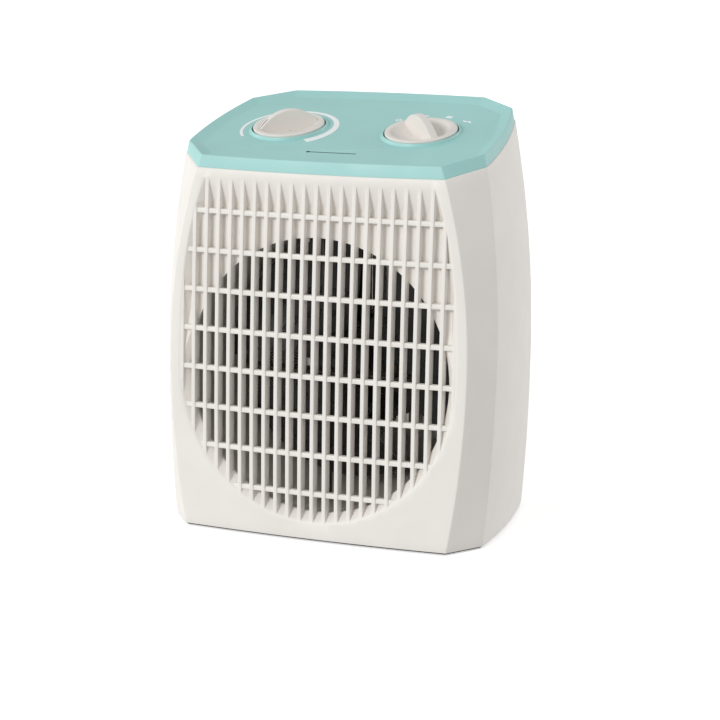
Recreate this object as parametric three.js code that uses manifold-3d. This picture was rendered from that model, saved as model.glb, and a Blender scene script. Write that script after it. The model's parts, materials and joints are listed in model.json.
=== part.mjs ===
// Upright fan heater: a barrel-shaped plastic casing with a grille moulded into its front,
// a sloping cover with two knobs, and a duct with the heating coils, the fan and its motor.
// Units are millimetres. X runs across the heater, -Y is the front and Z is up.
import * as THREE from 'three';
import { mergeVertices } from 'three/addons/utils/BufferGeometryUtils.js';
import Module from 'manifold-3d';

const wasm = await Module();
wasm.setup();

// ---------------------------------------------------------------- driving dimensions

// Casing. Heights in this file are measured from the casing's lower edge.
const footLift = 1.6;             // the feet hold the casing this far off the floor
const wall = 2.4;
const seam = 0.3;                 // gap kept between pieces that touch
const slack = 0.8;                // gap kept inside the casing's curved wall
const waistHeight = 112;          // where the sides are fullest
const crownHeight = 224;          // where the crown values below are measured

// Half widths of the casing's upright edges at its foot, waist and crown.
const halfWidth = {
  front: [86.1, 96.6, 79.6],
  sideFront: [102.6, 108.3, 98.9],
  sideBack: [98.8, 103.4, 94.6],
  back: [74.0, 80.0, 71.5],
};
// Depth of a face at height h is middle + lean * (h - waistHeight) + belly * (h - waistHeight)^2.
const frontFace = { middle: -66.4, lean: 0.055, belly: 0.000185 };
const sideFrontEdge = { middle: -40.2, lean: 0.0616, belly: 0.000064 };
const sideBackDepth = 50.3;
const backDepth = 68.3;
const frontRadius = 1183;         // the front bows forward across its width
const sideBow = 3.2;              // the sides and the back bow outwards by these
const backBow = 2.0;
const seamDepth = 49.0;           // the rear shell starts here
const casingSteps = 6;

// Sloping top. The panel is the cover's flat floor, inside its bevelled rim.
const slope = Math.atan(0.2329);
const rimHeightAtCentre = 244.14;
const rimDrop = 2.5;              // the panel lies this far below the rim
const rimWidth = 8.0;
const bandHeight = 7.3;           // visible height of the cover's skirt
const coverInset = 0.6;
const coverThickness = 2.2;
const skirtThickness = 3.4;
const lipDrop = 1.6;              // a lip inside the skirt reaches this far into the casing

// Grille
const finPitch = 8.055;
const finsEachSide = 11;
const finThickness = 2.4;
const finDepth = 7.0;
const barPitch = 24.2;
const barCount = 8;
const lowestBar = 26.9;           // lower edge of the lowest bar
const barHeight = 3.0;
const barDepth = 3.4;
const flush = 0.35;               // fins stand this far behind the front face
const barSetback = 0.7;
const mouthRadius = 89.6;         // lower, round end of the opening
const mouthHeight = 100;
const mouthNarrowing = 15.8;      // the opening's sides draw in by this much up to the ramp's top
const rampTop = 218.5;            // the backing ramp meets the front face here
const rampFoot = 203;
const backingTop = 220.4;
const backingDepth = 5.5;
const backingThickness = 2.4;
const backingBottom = [135, 100]; // the backing comes forward again between these heights

// Airway, along Y through this centre
const axisHeight = 100.5;
const orificeRadius = 84.4;
const duct = {
  inner: 84.6, outer: 86.6, front: -52.0, back: 22.0, rim: 95.0, rimThickness: 2.0, screwRadius: 91,
};

// Moving pieces
const knobSpacing = 87.8;
const knobAlong = 5.13;           // along the slope from the casing's middle
const knobRadius = 22.5;
const thermostatPointer = 214;    // where the knobs' pointers stand, in degrees
const selectorPointer = 135;

// ---------------------------------------------------------------- small helpers

const degrees = Math.PI / 180;
const point = (x, y, z) => new THREE.Vector3(x, y, z);

/** A closed geometry as a manifold solid. */
function solid(geometry) {
  const bare = geometry.index ? geometry.clone() : geometry;
  bare.deleteAttribute('normal');
  bare.deleteAttribute('uv');
  const merged = mergeVertices(bare, 1e-4);
  return new wasm.Manifold(new wasm.Mesh({
    numProp: 3,
    vertProperties: new Float32Array(merged.attributes.position.array),
    triVerts: new Uint32Array(merged.index.array),
  }));
}

/** A manifold solid as a flat-shaded geometry. */
function geometryOf(body) {
  const mesh = body.getMesh();
  const geometry = new THREE.BufferGeometry();
  geometry.setAttribute('position', new THREE.BufferAttribute(new Float32Array(mesh.vertProperties), 3));
  geometry.setIndex(new THREE.BufferAttribute(new Uint32Array(mesh.triVerts), 1));
  const loose = geometry.toNonIndexed();
  loose.computeVertexNormals();
  return loose;
}

const join = (...bodies) => bodies.reduce((a, b) => a.add(b));
const cut = (body, ...tools) => tools.reduce((a, b) => a.subtract(b), body);

function box(x0, x1, y0, y1, z0, z1) {
  const geometry = new THREE.BoxGeometry(x1 - x0, y1 - y0, z1 - z0);
  return geometry.translate((x0 + x1) / 2, (y0 + y1) / 2, (z0 + z1) / 2);
}

/** Turned shape about Z from a profile of [radius, height] pairs that closes on itself or on the axis. */
function turned(profile, segments = 24) {
  return new THREE.LatheGeometry(profile.map(([r, z]) => new THREE.Vector2(r, z)), segments)
    .rotateX(Math.PI / 2);
}

/** The same about Y, through the airway's centre; heights in the profile are depths. */
function turnedAlongY(profile, segments = 24, x = 0, z = axisHeight) {
  return new THREE.LatheGeometry(profile.map(([r, y]) => new THREE.Vector2(r, y)), segments)
    .translate(x, 0, z);
}

const rod = (radius, low, high) => [[0, low], [radius, low], [radius, high], [0, high]];
const tube = (inner, outer, low, high) => [
  [inner, low], [outer, low], [outer, high], [inner, high], [inner, low],
];

/** An outline of [x, z] pairs pushed along Y from y0 to y1. */
function extrudedAlongY(outline, y0, y1, holes = []) {
  const shape = new THREE.Shape(outline.map(([x, z]) => new THREE.Vector2(x, z)));
  shape.holes = holes;
  return new THREE.ExtrudeGeometry(shape, { depth: y1 - y0, bevelEnabled: false, curveSegments: 12 })
    .rotateX(Math.PI / 2)
    .translate(0, y1, 0);
}

function roundHole(x, z, radius) {
  return new THREE.Path().absarc(x, z, radius, 0, 2 * Math.PI, true);
}

const rectangle = (x0, x1, z0, z1) => [[x0, z0], [x1, z0], [x1, z1], [x0, z1]];

/** Closed skin through rings of points. flat gives the two coordinates in which a ring runs anticlockwise. */
function loft(rings, flat = (p) => new THREE.Vector2(p.x, p.y)) {
  const count = rings[0].length;
  const index = [];
  for (let r = 0; r < rings.length - 1; r += 1) {
    for (let i = 0; i < count; i += 1) {
      const a = r * count + i;
      const b = r * count + ((i + 1) % count);
      index.push(a, b, b + count, a, b + count, a + count);
    }
  }
  const last = (rings.length - 1) * count;
  THREE.ShapeUtils.triangulateShape(rings[0].map(flat), [])
    .forEach(([a, b, c]) => index.push(a, c, b));
  THREE.ShapeUtils.triangulateShape(rings[rings.length - 1].map(flat), [])
    .forEach(([a, b, c]) => index.push(last + a, last + b, last + c));
  const geometry = new THREE.BufferGeometry();
  const positions = rings.flat().flatMap((p) => [p.x, p.y, p.z]);
  geometry.setAttribute('position', new THREE.Float32BufferAttribute(positions, 3));
  geometry.setIndex(index);
  return geometry;
}

// ---------------------------------------------------------------- casing surface

/** Size that swells from its foot value to its waist value and draws in again to its crown value. */
function barrel([foot, waist, crown], h) {
  const above = h > waistHeight;
  const span = above ? crownHeight - waistHeight : waistHeight;
  return waist - (waist - (above ? crown : foot)) * ((h - waistHeight) / span) ** 2;
}

const leaning = (face, h) => face.middle
  + face.lean * (h - waistHeight)
  + face.belly * (h - waistHeight) ** 2;

/** Depth of the front face. */
const frontDepth = (x, h) => leaning(frontFace, h) + x * x / (2 * frontRadius);

/** The right half of the casing's plan at height h, from mid front to mid back. */
function halfPlan(h) {
  const frontX = barrel(halfWidth.front, h);
  const backX = barrel(halfWidth.back, h);
  const sideFront = new THREE.Vector2(barrel(halfWidth.sideFront, h), leaning(sideFrontEdge, h));
  const sideBack = new THREE.Vector2(barrel(halfWidth.sideBack, h), sideBackDepth);
  const points = [0, 1 / 3, 2 / 3, 1].map((t) => new THREE.Vector2(frontX * t, frontDepth(frontX * t, h)));
  for (let i = 0; i <= 3; i += 1) {
    const t = i / 3;
    const p = sideFront.clone().lerp(sideBack, t);
    points.push(p.setX(p.x + sideBow * 4 * t * (1 - t)));
  }
  points.push(new THREE.Vector2(backX, backDepth));
  points.push(new THREE.Vector2(backX / 2, backDepth + backBow * 0.75));
  points.push(new THREE.Vector2(0, backDepth + backBow));
  return points;
}

function plan(h) {
  const right = halfPlan(h);
  const left = right.slice(1, -1).reverse().map((p) => new THREE.Vector2(-p.x, p.y));
  return [...right, ...left];
}

/** Height of the plane that lies a distance above the cover's panel, at depth y. */
const slopeHeight = (y, above) => rimHeightAtCentre
  + y * Math.tan(slope)
  + (above - rimDrop) / Math.cos(slope);

/** Level and sloping limits of a casing ring, as heights at depth y. */
const level = (h) => () => h;
const parallel = (above) => (y) => slopeHeight(y, above);

/** Moves every side of a convex outline inwards by a distance. */
function inset(points, distance) {
  return points.map((p, i) => {
    const before = points[(i + points.length - 1) % points.length];
    const after = points[(i + 1) % points.length];
    const a = p.clone().sub(before).normalize();
    const b = after.clone().sub(p).normalize();
    const inward = new THREE.Vector2(-a.y - b.y, a.x + b.x).normalize();
    return p.clone().addScaledVector(inward, distance / (inward.x * -a.y + inward.y * a.x));
  });
}

/** One ring of the casing, inset from its surface, on the surface that heightAt gives. */
function ringOn(heightAt, distance) {
  let heights = plan(crownHeight).map(() => crownHeight);
  let outline;
  for (let pass = 0; pass < 6; pass += 1) {
    outline = inset(heights.map((h, i) => plan(h)[i]), distance);
    heights = outline.map((p) => heightAt(p.y));
  }
  return outline.map((p, i) => point(p.x, p.y, heights[i]));
}

/** Solid with the casing's outer shape, inset by a distance, between a bottom and a top surface. */
function casingBody(bottom, top, distance, steps) {
  const rings = [];
  for (let s = 0; s <= steps; s += 1) {
    rings.push(ringOn((y) => bottom(y) + (top(y) - bottom(y)) * (s / steps), distance));
  }
  return solid(loft(rings));
}

const coverBottom = rimDrop - bandHeight;     // above the panel, along the cover's own normal

/** Slab that follows the front face, from one depth behind it to another, between heights. */
function frontSlab(nearDepth, farDepth, halfSpan, heights) {
  const xs = Array.from({ length: 5 }, (_, i) => halfSpan * (i / 2 - 1));
  const rings = heights.map((h) => [
    ...xs.map((x) => point(x, frontDepth(x, h) + nearDepth(h), h)),
    ...xs.slice().reverse().map((x) => point(x, frontDepth(x, h) + farDepth(h), h)),
  ]);
  return solid(loft(rings));
}

// ---------------------------------------------------------------- front shell

/** Half width of the grille's opening at height h. */
function openingHalfWidth(h) {
  if (h > mouthHeight) {
    return mouthRadius - mouthNarrowing * ((h - mouthHeight) / (rampTop - mouthHeight)) ** 3;
  }
  return Math.sqrt(Math.max(0, mouthRadius ** 2 - (h - mouthHeight) ** 2));
}

/** Outline of the opening, grown by a margin, from its top down to its round lower end. */
function openingOutline(margin, top, lowerEnd) {
  const right = [];
  for (let i = 0; i <= 6; i += 1) {
    const h = top + (mouthHeight - top) * (i / 6);
    right.push([openingHalfWidth(h) + margin, h]);
  }
  if (lowerEnd) {
    for (let i = 1; i < 14; i += 1) {
      const angle = -i * Math.PI / 28;
      const radius = mouthRadius + margin;
      right.push([radius * Math.cos(angle), mouthHeight + radius * Math.sin(angle)]);
    }
    right.push([0, mouthHeight - mouthRadius - margin]);
  }
  const left = right.filter(([x]) => x > 0).reverse().map(([x, z]) => [-x, z]);
  return [...right, ...left].reverse();
}

/** Depth of the backing behind the front face: a ramp at the top, flat, and forward again below. */
function backingAt(h) {
  const [flatEnd, forwardEnd] = backingBottom;
  if (h > rampFoot) return backingDepth * (rampTop - h) / (rampTop - rampFoot);
  if (h > flatEnd) return backingDepth;
  return backingDepth * Math.max(0, (h - forwardEnd) / (flatEnd - forwardEnd));
}

/** Round funnel from the lower end of the opening back to the orifice. */
function mouthCutter() {
  const flare = (mouthRadius - orificeRadius) / backingDepth;
  const stages = [
    [mouthRadius + 3 * flare, mouthHeight, -3],
    [orificeRadius, axisHeight, backingDepth],
    [orificeRadius, axisHeight, 30],
  ];
  const segments = 48;
  const rings = stages.map(([radius, height, depth]) => Array.from({ length: segments }, (_, i) => {
    const angle = 2 * Math.PI * i / segments;
    const x = radius * Math.sin(angle);
    const z = height + radius * Math.cos(angle);
    return point(x, frontDepth(x, z) + depth, z);
  }));
  return solid(loft(rings, (p) => new THREE.Vector2(p.z, p.x)));
}

/** One upright fin, an outline in depth and height given the fin's thickness. */
function fin(x) {
  const innerSide = Math.abs(x) - finThickness / 2;
  const bottom = mouthHeight - Math.sqrt(mouthRadius ** 2 - x * x) - 1.4;
  const sideMeets = mouthHeight
    + (rampTop - mouthHeight) * Math.cbrt((mouthRadius - innerSide) / mouthNarrowing);
  const top = Math.min(rampTop, sideMeets) + 0.6;
  const heights = [0, 1 / 3, 2 / 3, 1].map((t) => bottom + (top - bottom) * t);
  const near = heights.map((h) => [frontDepth(x, h) + flush, h]);
  const far = heights.slice().reverse().map((h) => [frontDepth(x, h) + finDepth, h]);
  const shape = new THREE.Shape([...near, ...far].map(([y, z]) => new THREE.Vector2(y, z)));
  // The outline's own axes become depth and height, and its thickness runs across the heater.
  const turn = new THREE.Matrix4().makeBasis(point(0, 1, 0), point(0, 0, 1), point(1, 0, 0));
  return solid(new THREE.ExtrudeGeometry(shape, { depth: finThickness, bevelEnabled: false })
    .applyMatrix4(turn)
    .translate(x - finThickness / 2, 0, 0));
}

/** One level bar between the fins. */
function bar(bottom) {
  const middle = bottom + barHeight / 2;
  const reach = openingHalfWidth(middle) + 1.2;
  const xs = [-1, -0.6, -0.2, 0.2, 0.6, 1].map((t) => t * reach);
  const near = xs.map((x) => new THREE.Vector2(x, frontDepth(x, middle) + barSetback));
  const far = xs.slice().reverse()
    .map((x) => new THREE.Vector2(x, frontDepth(x, middle) + barSetback + barDepth));
  return solid(new THREE.ExtrudeGeometry(new THREE.Shape([...near, ...far]), {
    depth: barHeight, bevelEnabled: false,
  }).translate(0, 0, bottom));
}

// Posts that take the rear shell's screws, as [x, height], and bosses that take the base's, as [x, depth].
const rearPosts = [[-92.6, 22], [92.6, 22], [-88.6, 212], [88.6, 212]];
const baseBosses = [[-88, -55], [88, -55], [-94, 38], [94, 38]];
const postRadius = 4.5;
const postStart = 28;
const pilotRadius = 1.8;
const screwRadius = 1.5;

function frontShell() {
  const outer = casingBody(level(0), parallel(coverBottom - seam), 0, casingSteps);
  const inner = casingBody(level(-5), parallel(coverBottom + 5), wall, casingSteps);
  const frontHalf = solid(box(-150, 150, -100, seamDepth, -20, 300));
  const heights = [6, 60, 115, 170, backingTop + 1];
  const backing = frontSlab(() => 1, () => backingDepth + backingThickness, 94, heights)
    .intersect(solid(extrudedAlongY(openingOutline(wall, backingTop, true), -90, -40)));
  const [flatEnd, forwardEnd] = backingBottom;
  const recess = frontSlab(() => -4, backingAt, 94, [forwardEnd, flatEnd, 170, rampFoot, rampTop])
    .intersect(solid(extrudedAlongY(openingOutline(0, rampTop, false), -90, -40)));
  const posts = rearPosts.map(([x, z]) => {
    const side = Math.sign(x);
    const reach = x + side * 20;
    const rib = box(
      Math.min(x, reach), Math.max(x, reach), postStart, seamDepth - seam, z - 0.9, z + 0.9,
    );
    const post = turnedAlongY(rod(postRadius, postStart, seamDepth - seam), 8, x, z);
    return join(solid(post), solid(rib)).intersect(outer);
  });
  const pads = ductScrews.map(([x, z]) => solid(
    turnedAlongY(rod(4, -60, duct.front - seam), 8, x, z),
  ).intersect(outer));
  const bosses = baseBosses.map(([x, y]) => {
    const boss = turned(rod(postRadius, basePlateTop + seam, 14), 8).translate(x, y, 0);
    return solid(boss).intersect(outer);
  });
  let shell = cut(outer, inner).intersect(frontHalf);
  shell = cut(join(shell, backing, ...pads), recess, mouthCutter());
  for (let k = -finsEachSide; k <= finsEachSide; k += 1) shell = join(shell, fin(k * finPitch));
  for (let k = 0; k < barCount; k += 1) shell = join(shell, bar(lowestBar + k * barPitch));
  shell = join(shell, ...posts, ...bosses);
  const pilots = [
    ...rearPosts.map(([x, z]) => solid(turnedAlongY(rod(pilotRadius, 36, 60), 8, x, z))),
    ...baseBosses.map(([x, y]) => solid(turned(rod(pilotRadius, 0, 12), 8).translate(x, y, 0))),
    ...ductScrews.map(([x, z]) => solid(turnedAlongY(rod(pilotRadius, duct.front - 2.6, -40), 8, x, z))),
  ];
  return cut(shell, ...pilots);
}

// ---------------------------------------------------------------- rear shell

// Upright slots through a pad that makes the wall deeper there.
const intake = { columns: 18, pitch: 6.4, width: 2.8, rows: [[40, 103], [109, 172]] };
const intakePad = { halfWidth: 61, front: 59.6, bottom: 34, top: 178 };
const gland = { x: 64, height: 17, hole: 5.2 };
const screwSeat = 53;              // depth at which the rear screws' heads bear

function rearShell() {
  const outer = casingBody(level(0), parallel(coverBottom - seam), 0, casingSteps);
  const inner = casingBody(level(-5), parallel(coverBottom + 5), wall, casingSteps);
  const backHalf = solid(box(-150, 150, seamDepth + seam, 100, -20, 300));
  const seats = rearPosts.map(([x, z]) => solid(turnedAlongY(rod(6, seamDepth + seam, 80), 14, x, z))
    .intersect(outer));
  const slots = [];
  for (let column = 0; column < intake.columns; column += 1) {
    const x = (column - (intake.columns - 1) / 2) * intake.pitch;
    intake.rows.forEach(([low, high]) => {
      slots.push(solid(box(x - intake.width / 2, x + intake.width / 2, 60, 80, low, high)));
    });
  }
  const pad = solid(box(
    -intakePad.halfWidth, intakePad.halfWidth, intakePad.front, backDepth + 0.3,
    intakePad.bottom, intakePad.top,
  ));
  return cut(
    join(cut(outer, inner).intersect(backHalf), pad, ...seats),
    ...slots,
    ...rearPosts.map(([x, z]) => solid(turnedAlongY(rod(3.8, screwSeat, 90), 14, x, z))),
    ...rearPosts.map(([x, z]) => solid(turnedAlongY(rod(pilotRadius, 40, 60), 10, x, z))),
    solid(turnedAlongY(rod(gland.hole, 60, 80), 16, gland.x, gland.height)),
  );
}

// ---------------------------------------------------------------- base and feet

const baseLip = { bottom: -0.9, inset: 1.3 };
const basePlateTop = 2.5;
const feet = { rear: 40, front: -46, x: 74, radius: 7, stem: 3 };
const footPlaces = {
  foot_front_left: [-feet.x, feet.front],
  foot_front_right: [feet.x, feet.front],
  foot_rear_left: [-feet.x, feet.rear],
  foot_rear_right: [feet.x, feet.rear],
};

function basePlate() {
  const lip = casingBody(level(baseLip.bottom), level(-seam), baseLip.inset, 1);
  const tray = casingBody(level(-seam), level(basePlateTop), wall + slack, 1);
  return cut(
    join(lip, tray),
    ...Object.values(footPlaces).map(([x, y]) => solid(
      turned(rod(feet.stem + seam, -5, 5), 12).translate(x, y, 0),
    )),
    ...baseBosses.map(([x, y]) => solid(turned(rod(pilotRadius, -5, 5), 10).translate(x, y, 0))),
    ...baseBosses.map(([x, y]) => solid(turned(rod(3.6, -5, 0.9), 12).translate(x, y, 0))),
  );
}

function foot() {
  const top = baseLip.bottom - seam;
  return turned([
    [0, -footLift], [feet.radius, -footLift], [feet.radius, top], [feet.stem, top],
    [feet.stem, basePlateTop + seam], [feet.stem + 0.9, basePlateTop + seam],
    [feet.stem - 0.6, basePlateTop + 2.6], [0, basePlateTop + 2.6],
  ], 12);
}

// ---------------------------------------------------------------- top cover

/** Places a geometry of the sloping top, whose own frame has the panel at height 0. */
const onSlope = (geometry) => geometry.applyMatrix4(slopeMatrix);
const slopeOrigin = point(0, 0, rimHeightAtCentre - rimDrop / Math.cos(slope));
const slopeMatrix = new THREE.Matrix4().makeRotationX(slope).setPosition(slopeOrigin);

// Each knob sits in a round well with a raised collar round it.
const well = {
  radius: 23.4, floor: -4.6, cupRadius: 25.6, collar: 1.9, crestRadius: 23.9, collarRadius: 25.4,
};
const spindleRadius = 2.5;
const spindleTop = -1.2;
const bushRadius = 4.6;
const slit = { half: 16.2, along: -35.1, width: 1.5 };
const bracketLevel = -13.0;        // top of the steel plate that carries the controls
const coverPosts = [[0, 24], [0, -12]];
const knobPlaces = [-knobSpacing / 2, knobSpacing / 2];

function topCover() {
  const skirt = casingBody(parallel(coverBottom), parallel(rimDrop), coverInset, 1);
  const inside = casingBody(
    parallel(coverBottom - 3), parallel(-coverThickness), coverInset + skirtThickness, 1,
  );
  const lipInset = wall + slack;
  const lipOuter = casingBody(parallel(coverBottom - lipDrop), parallel(coverBottom + 1), lipInset, 1);
  const lipInner = casingBody(parallel(coverBottom - 6), parallel(coverBottom + 3), lipInset + 1.6, 1);
  const bowl = solid(loft([
    ringOn(parallel(0), coverInset + rimWidth),
    ringOn(parallel(rimDrop * 1.2), coverInset - rimWidth * 0.2),
  ]));
  const cups = knobPlaces.map((x) => solid(onSlope(
    turned([
      [0, well.floor - coverThickness], [well.cupRadius, well.floor - coverThickness],
      [well.cupRadius, -1], [well.collarRadius, -1], [well.collarRadius, 0],
      [well.crestRadius, well.collar], [0, well.collar],
    ], 32).translate(x, knobAlong, 0),
  )));
  const posts = coverPosts.map(([x, v]) => solid(onSlope(
    turned(rod(3.6, bracketLevel + seam, -1), 10).translate(x, v, 0),
  )));
  const wells = knobPlaces.map((x) => solid(onSlope(
    turned(rod(well.radius, well.floor, 4), 32).translate(x, knobAlong, 0),
  )));
  const spindleHoles = knobPlaces.map((x) => solid(onSlope(
    turned(rod(bushRadius + seam, -12, 0), 16).translate(x, knobAlong, 0),
  )));
  const pilots = coverPosts.map(([x, v]) => solid(onSlope(
    turned(rod(pilotRadius, bracketLevel - 2, bracketLevel + 8), 8).translate(x, v, 0),
  )));
  const slot = solid(onSlope(box(
    -slit.half, slit.half, slit.along - slit.width / 2, slit.along + slit.width / 2, -6, 6,
  )));
  const shell = join(cut(skirt, inside), cut(lipOuter, lipInner));
  return cut(join(cut(shell, bowl), ...cups, ...posts), ...wells, ...spindleHoles, ...pilots, slot);
}

function pilotLens() {
  const half = slit.half - seam;
  const narrow = slit.width / 2 - seam;
  return join(
    solid(box(-half, half, slit.along - narrow, slit.along + narrow, -coverThickness - 1, -0.5)),
    solid(box(
      -half - 2, half + 2, slit.along - 2.5, slit.along + 2.5,
      -coverThickness - 1.6, -coverThickness - seam,
    )),
  );
}

// ---------------------------------------------------------------- knobs and controls

const rimTop = 2.8;                // the knob's round rim stands this far above the panel
const gripTop = 12.0;              // and its grip this far
const bowlFloor = -2.0;
const grip = { thickness: 5.0, reach: 20.0, boss: 4.0, bossTop: -0.2 };

/** Control knob about its own spindle: a dished disc with an arched grip. The pointer end is +X. */
function knob() {
  const bottom = well.floor + 0.7;
  const disc = turned([
    [0, bottom], [knobRadius - 0.6, bottom], [knobRadius, bottom + 0.6], [knobRadius, rimTop - 1.2],
    [knobRadius - 1.2, rimTop], [knobRadius - 3.4, rimTop - 0.3], [knobRadius - 7, rimTop - 2.6],
    [knobRadius - 11, bowlFloor + 0.7], [knobRadius - 15, bowlFloor], [0, bowlFloor],
  ], 28);
  const arch = [];
  for (let i = 0; i <= 8; i += 1) {
    const t = i / 4 - 1;
    arch.push([grip.reach * t, rimTop - 0.5 + (gripTop - rimTop + 0.5) * (1 - t * t) ** 0.85]);
  }
  const handle = extrudedAlongY(
    [[-grip.reach, bottom + 0.5], [grip.reach, bottom + 0.5], ...arch.reverse()],
    -grip.thickness / 2, grip.thickness / 2,
  );
  const boss = turned(rod(grip.boss, bottom + 0.5, grip.bossTop), 20);
  const bore = turned(rod(spindleRadius + seam, bottom - 1, spindleTop + seam), 16);
  return cut(join(solid(disc), solid(handle), solid(boss)), solid(bore));
}

const spindle = (low) => turned([
  [0, low], [spindleRadius, low], [spindleRadius, spindleTop - 0.5], [spindleRadius - 0.5, spindleTop],
  [0, spindleTop],
], 16);

const bushTop = well.floor - 0.9;

/** Body with a threaded bush that goes up through the steel plate; the spindle turns in its bore. */
function controlBody(housing) {
  return cut(
    join(solid(housing), solid(turned(rod(bushRadius, bracketLevel - 4, bushTop), 16))),
    solid(turned(rod(spindleRadius + seam, bracketLevel - 9, 0), 16)),
  );
}

const plateThickness = 1.2;
const housingTop = bracketLevel - plateThickness - seam;
const thermostatHousing = () => box(-14, 14, -16, 16, housingTop - 17, housingTop);
const selectorHousing = () => turned([
  [0, housingTop - 20], [11, housingTop - 20], [14, housingTop - 17], [14, housingTop], [0, housingTop],
], 20);

function controlNut() {
  const hexagon = new THREE.Shape(Array.from({ length: 6 }, (_, i) => new THREE.Vector2(
    8 * Math.cos(i * Math.PI / 3), 8 * Math.sin(i * Math.PI / 3),
  )));
  hexagon.holes = [roundHole(0, 0, bushRadius + seam)];
  return new THREE.ExtrudeGeometry(hexagon, { depth: 2.4, bevelEnabled: false, curveSegments: 12 })
    .translate(0, 0, bracketLevel + seam);
}

function controlBracket() {
  const plate = solid(box(-66, 66, -18, 30, bracketLevel - plateThickness, bracketLevel));
  const flange = solid(box(-66, 66, 30 - plateThickness, 30, bracketLevel - 10, bracketLevel));
  const holes = knobPlaces.map((x) => solid(
    turned(rod(bushRadius + seam, -20, -5), 16).translate(x, knobAlong, 0),
  ));
  const screwHoles = coverPosts.map(([x, v]) => solid(
    turned(rod(pilotRadius, -20, -5), 10).translate(x, v, 0),
  ));
  return cut(join(plate, flange), ...holes, ...screwHoles);
}

// ---------------------------------------------------------------- duct and heating element

const ductScrews = [[-1, 1], [1, 1], [-1, -1], [1, -1]].map(([x, z]) => [
  x * duct.screwRadius * Math.SQRT1_2, axisHeight + z * duct.screwRadius * Math.SQRT1_2,
]);
const element = {
  front: -48, back: -36, thickness: 1.0, uprightReach: 83.6, levelReach: 56,
  rings: [22, 36, 50], coil: 2.2, cutoutX: 43,
};

/** Flanged tube round the fan. Its front edge follows the back of the front shell's backing. */
function airDuct() {
  const body = turnedAlongY([
    [duct.inner, duct.front], [duct.rim, duct.front], [duct.rim, duct.front + duct.rimThickness],
    [duct.outer, duct.front + duct.rimThickness], [duct.outer, duct.back - duct.rimThickness],
    [duct.rim, duct.back - duct.rimThickness], [duct.rim, duct.back], [duct.inner, duct.back],
    [duct.inner, duct.front],
  ], 40);
  const ahead = solid(turnedAlongY(tube(duct.inner, duct.outer, -75, duct.front + 1), 40));
  const backOfBacking = () => backingDepth + backingThickness + seam;
  const shellSpace = frontSlab(() => -40, backOfBacking, 100, [0, 60, 115, 170, 225]);
  return cut(
    join(solid(body), cut(ahead, shellSpace)),
    ...ductScrews.map(([x, z]) => solid(turnedAlongY(rod(pilotRadius, -70, -40), 8, x, z))),
    ...spiderEnds.map(([x, z]) => solid(turnedAlongY(rod(pilotRadius, 10, 30), 8, x, z))),
  );
}

/** Insulating card across the duct, with a notch for each coil and a half-lap slot at its middle. */
function card(reach, slotFrom, slotTo) {
  const middle = (element.front + element.back) / 2;
  const gap = element.thickness / 2 + seam;
  const blank = solid(box(
    -reach, reach, -element.thickness / 2, element.thickness / 2, element.front, element.back,
  ));
  const holes = [-1, 1].flatMap((side) => element.rings.map((r) => solid(
    turned(rod(element.coil + seam, -3, 3), 10).rotateX(Math.PI / 2).translate(side * r, 0, middle),
  )));
  return cut(blank, ...holes, solid(box(-gap, gap, -3, 3, slotFrom, slotTo)));
}

/** Heating coil: the round envelope of a wire spiral, closed into a ring. */
function coilRing(radius) {
  const section = Array.from({ length: 7 }, (_, i) => {
    const angle = 2 * Math.PI * i / 6;
    return [
      radius + element.coil * Math.cos(angle),
      (element.front + element.back) / 2 + element.coil * Math.sin(angle),
    ];
  });
  return turnedAlongY(section, 24);
}

// ---------------------------------------------------------------- fan and motor

const fan = {
  tip: 77, hub: 17, hubFront: -22, hubBack: 6, blades: 3, start: 27, sweep: 99, bladeThickness: 1.6,
};
const shaftRadius = 2.5;
const stack = { front: 27, back: 43, half: 28, low: -42, high: 22, bore: 13.4 };
const motorScrewX = 22.5;
const spiderFront = duct.back + seam;
const spiderThickness = 2.4;
const spiderRadius = 91;
const spiderEnds = [90, 210, 330].map((a) => [
  spiderRadius * Math.cos(a * degrees), axisHeight + spiderRadius * Math.sin(a * degrees),
]);

/** Blade as a twisted sheet: steep at the hub, flatter at the tip, with a curved front edge. */
function fanBlade(startAngle) {
  const spans = [fan.hub - 2, 35, 56, fan.tip];
  const chord = 5;
  const rings = spans.map((r) => {
    const share = (r - fan.hub) / (fan.tip - fan.hub);
    const curve = 8 * Math.sin(Math.PI * share);
    const sweep = (fan.sweep - curve) * degrees;
    const lead = (startAngle + curve) * degrees;
    const rise = 17 - 5 * share;
    const row = (offset) => Array.from({ length: chord + 1 }, (_, i) => {
      const t = i / chord;
      const angle = lead + sweep * t;
      const y = -7 - rise / 2 + rise * t + 3.0 * Math.sin(Math.PI * t) + offset;
      return point(r * Math.sin(angle), y, axisHeight + r * Math.cos(angle));
    });
    return [...row(0), ...row(fan.bladeThickness).reverse()];
  });
  return solid(bladeSkin(rings));
}

/** Skin of a blade: like a loft, with its ends closed by strips between the two faces. */
function bladeSkin(rings) {
  const count = rings[0].length;
  const half = count / 2;
  const index = [];
  for (let r = 0; r < rings.length - 1; r += 1) {
    for (let i = 0; i < count; i += 1) {
      const a = r * count + i;
      const b = r * count + ((i + 1) % count);
      index.push(a, b, b + count, a, b + count, a + count);
    }
  }
  const last = (rings.length - 1) * count;
  for (let i = 0; i < half - 1; i += 1) {
    const j = count - 1 - i;
    index.push(i, j, i + 1, i + 1, j, j - 1);
    index.push(last + i, last + i + 1, last + j, last + i + 1, last + j - 1, last + j);
  }
  const geometry = new THREE.BufferGeometry();
  const positions = rings.flat().flatMap((p) => [p.x, p.y, p.z]);
  geometry.setAttribute('position', new THREE.Float32BufferAttribute(positions, 3));
  geometry.setIndex(index);
  return geometry;
}

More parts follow.
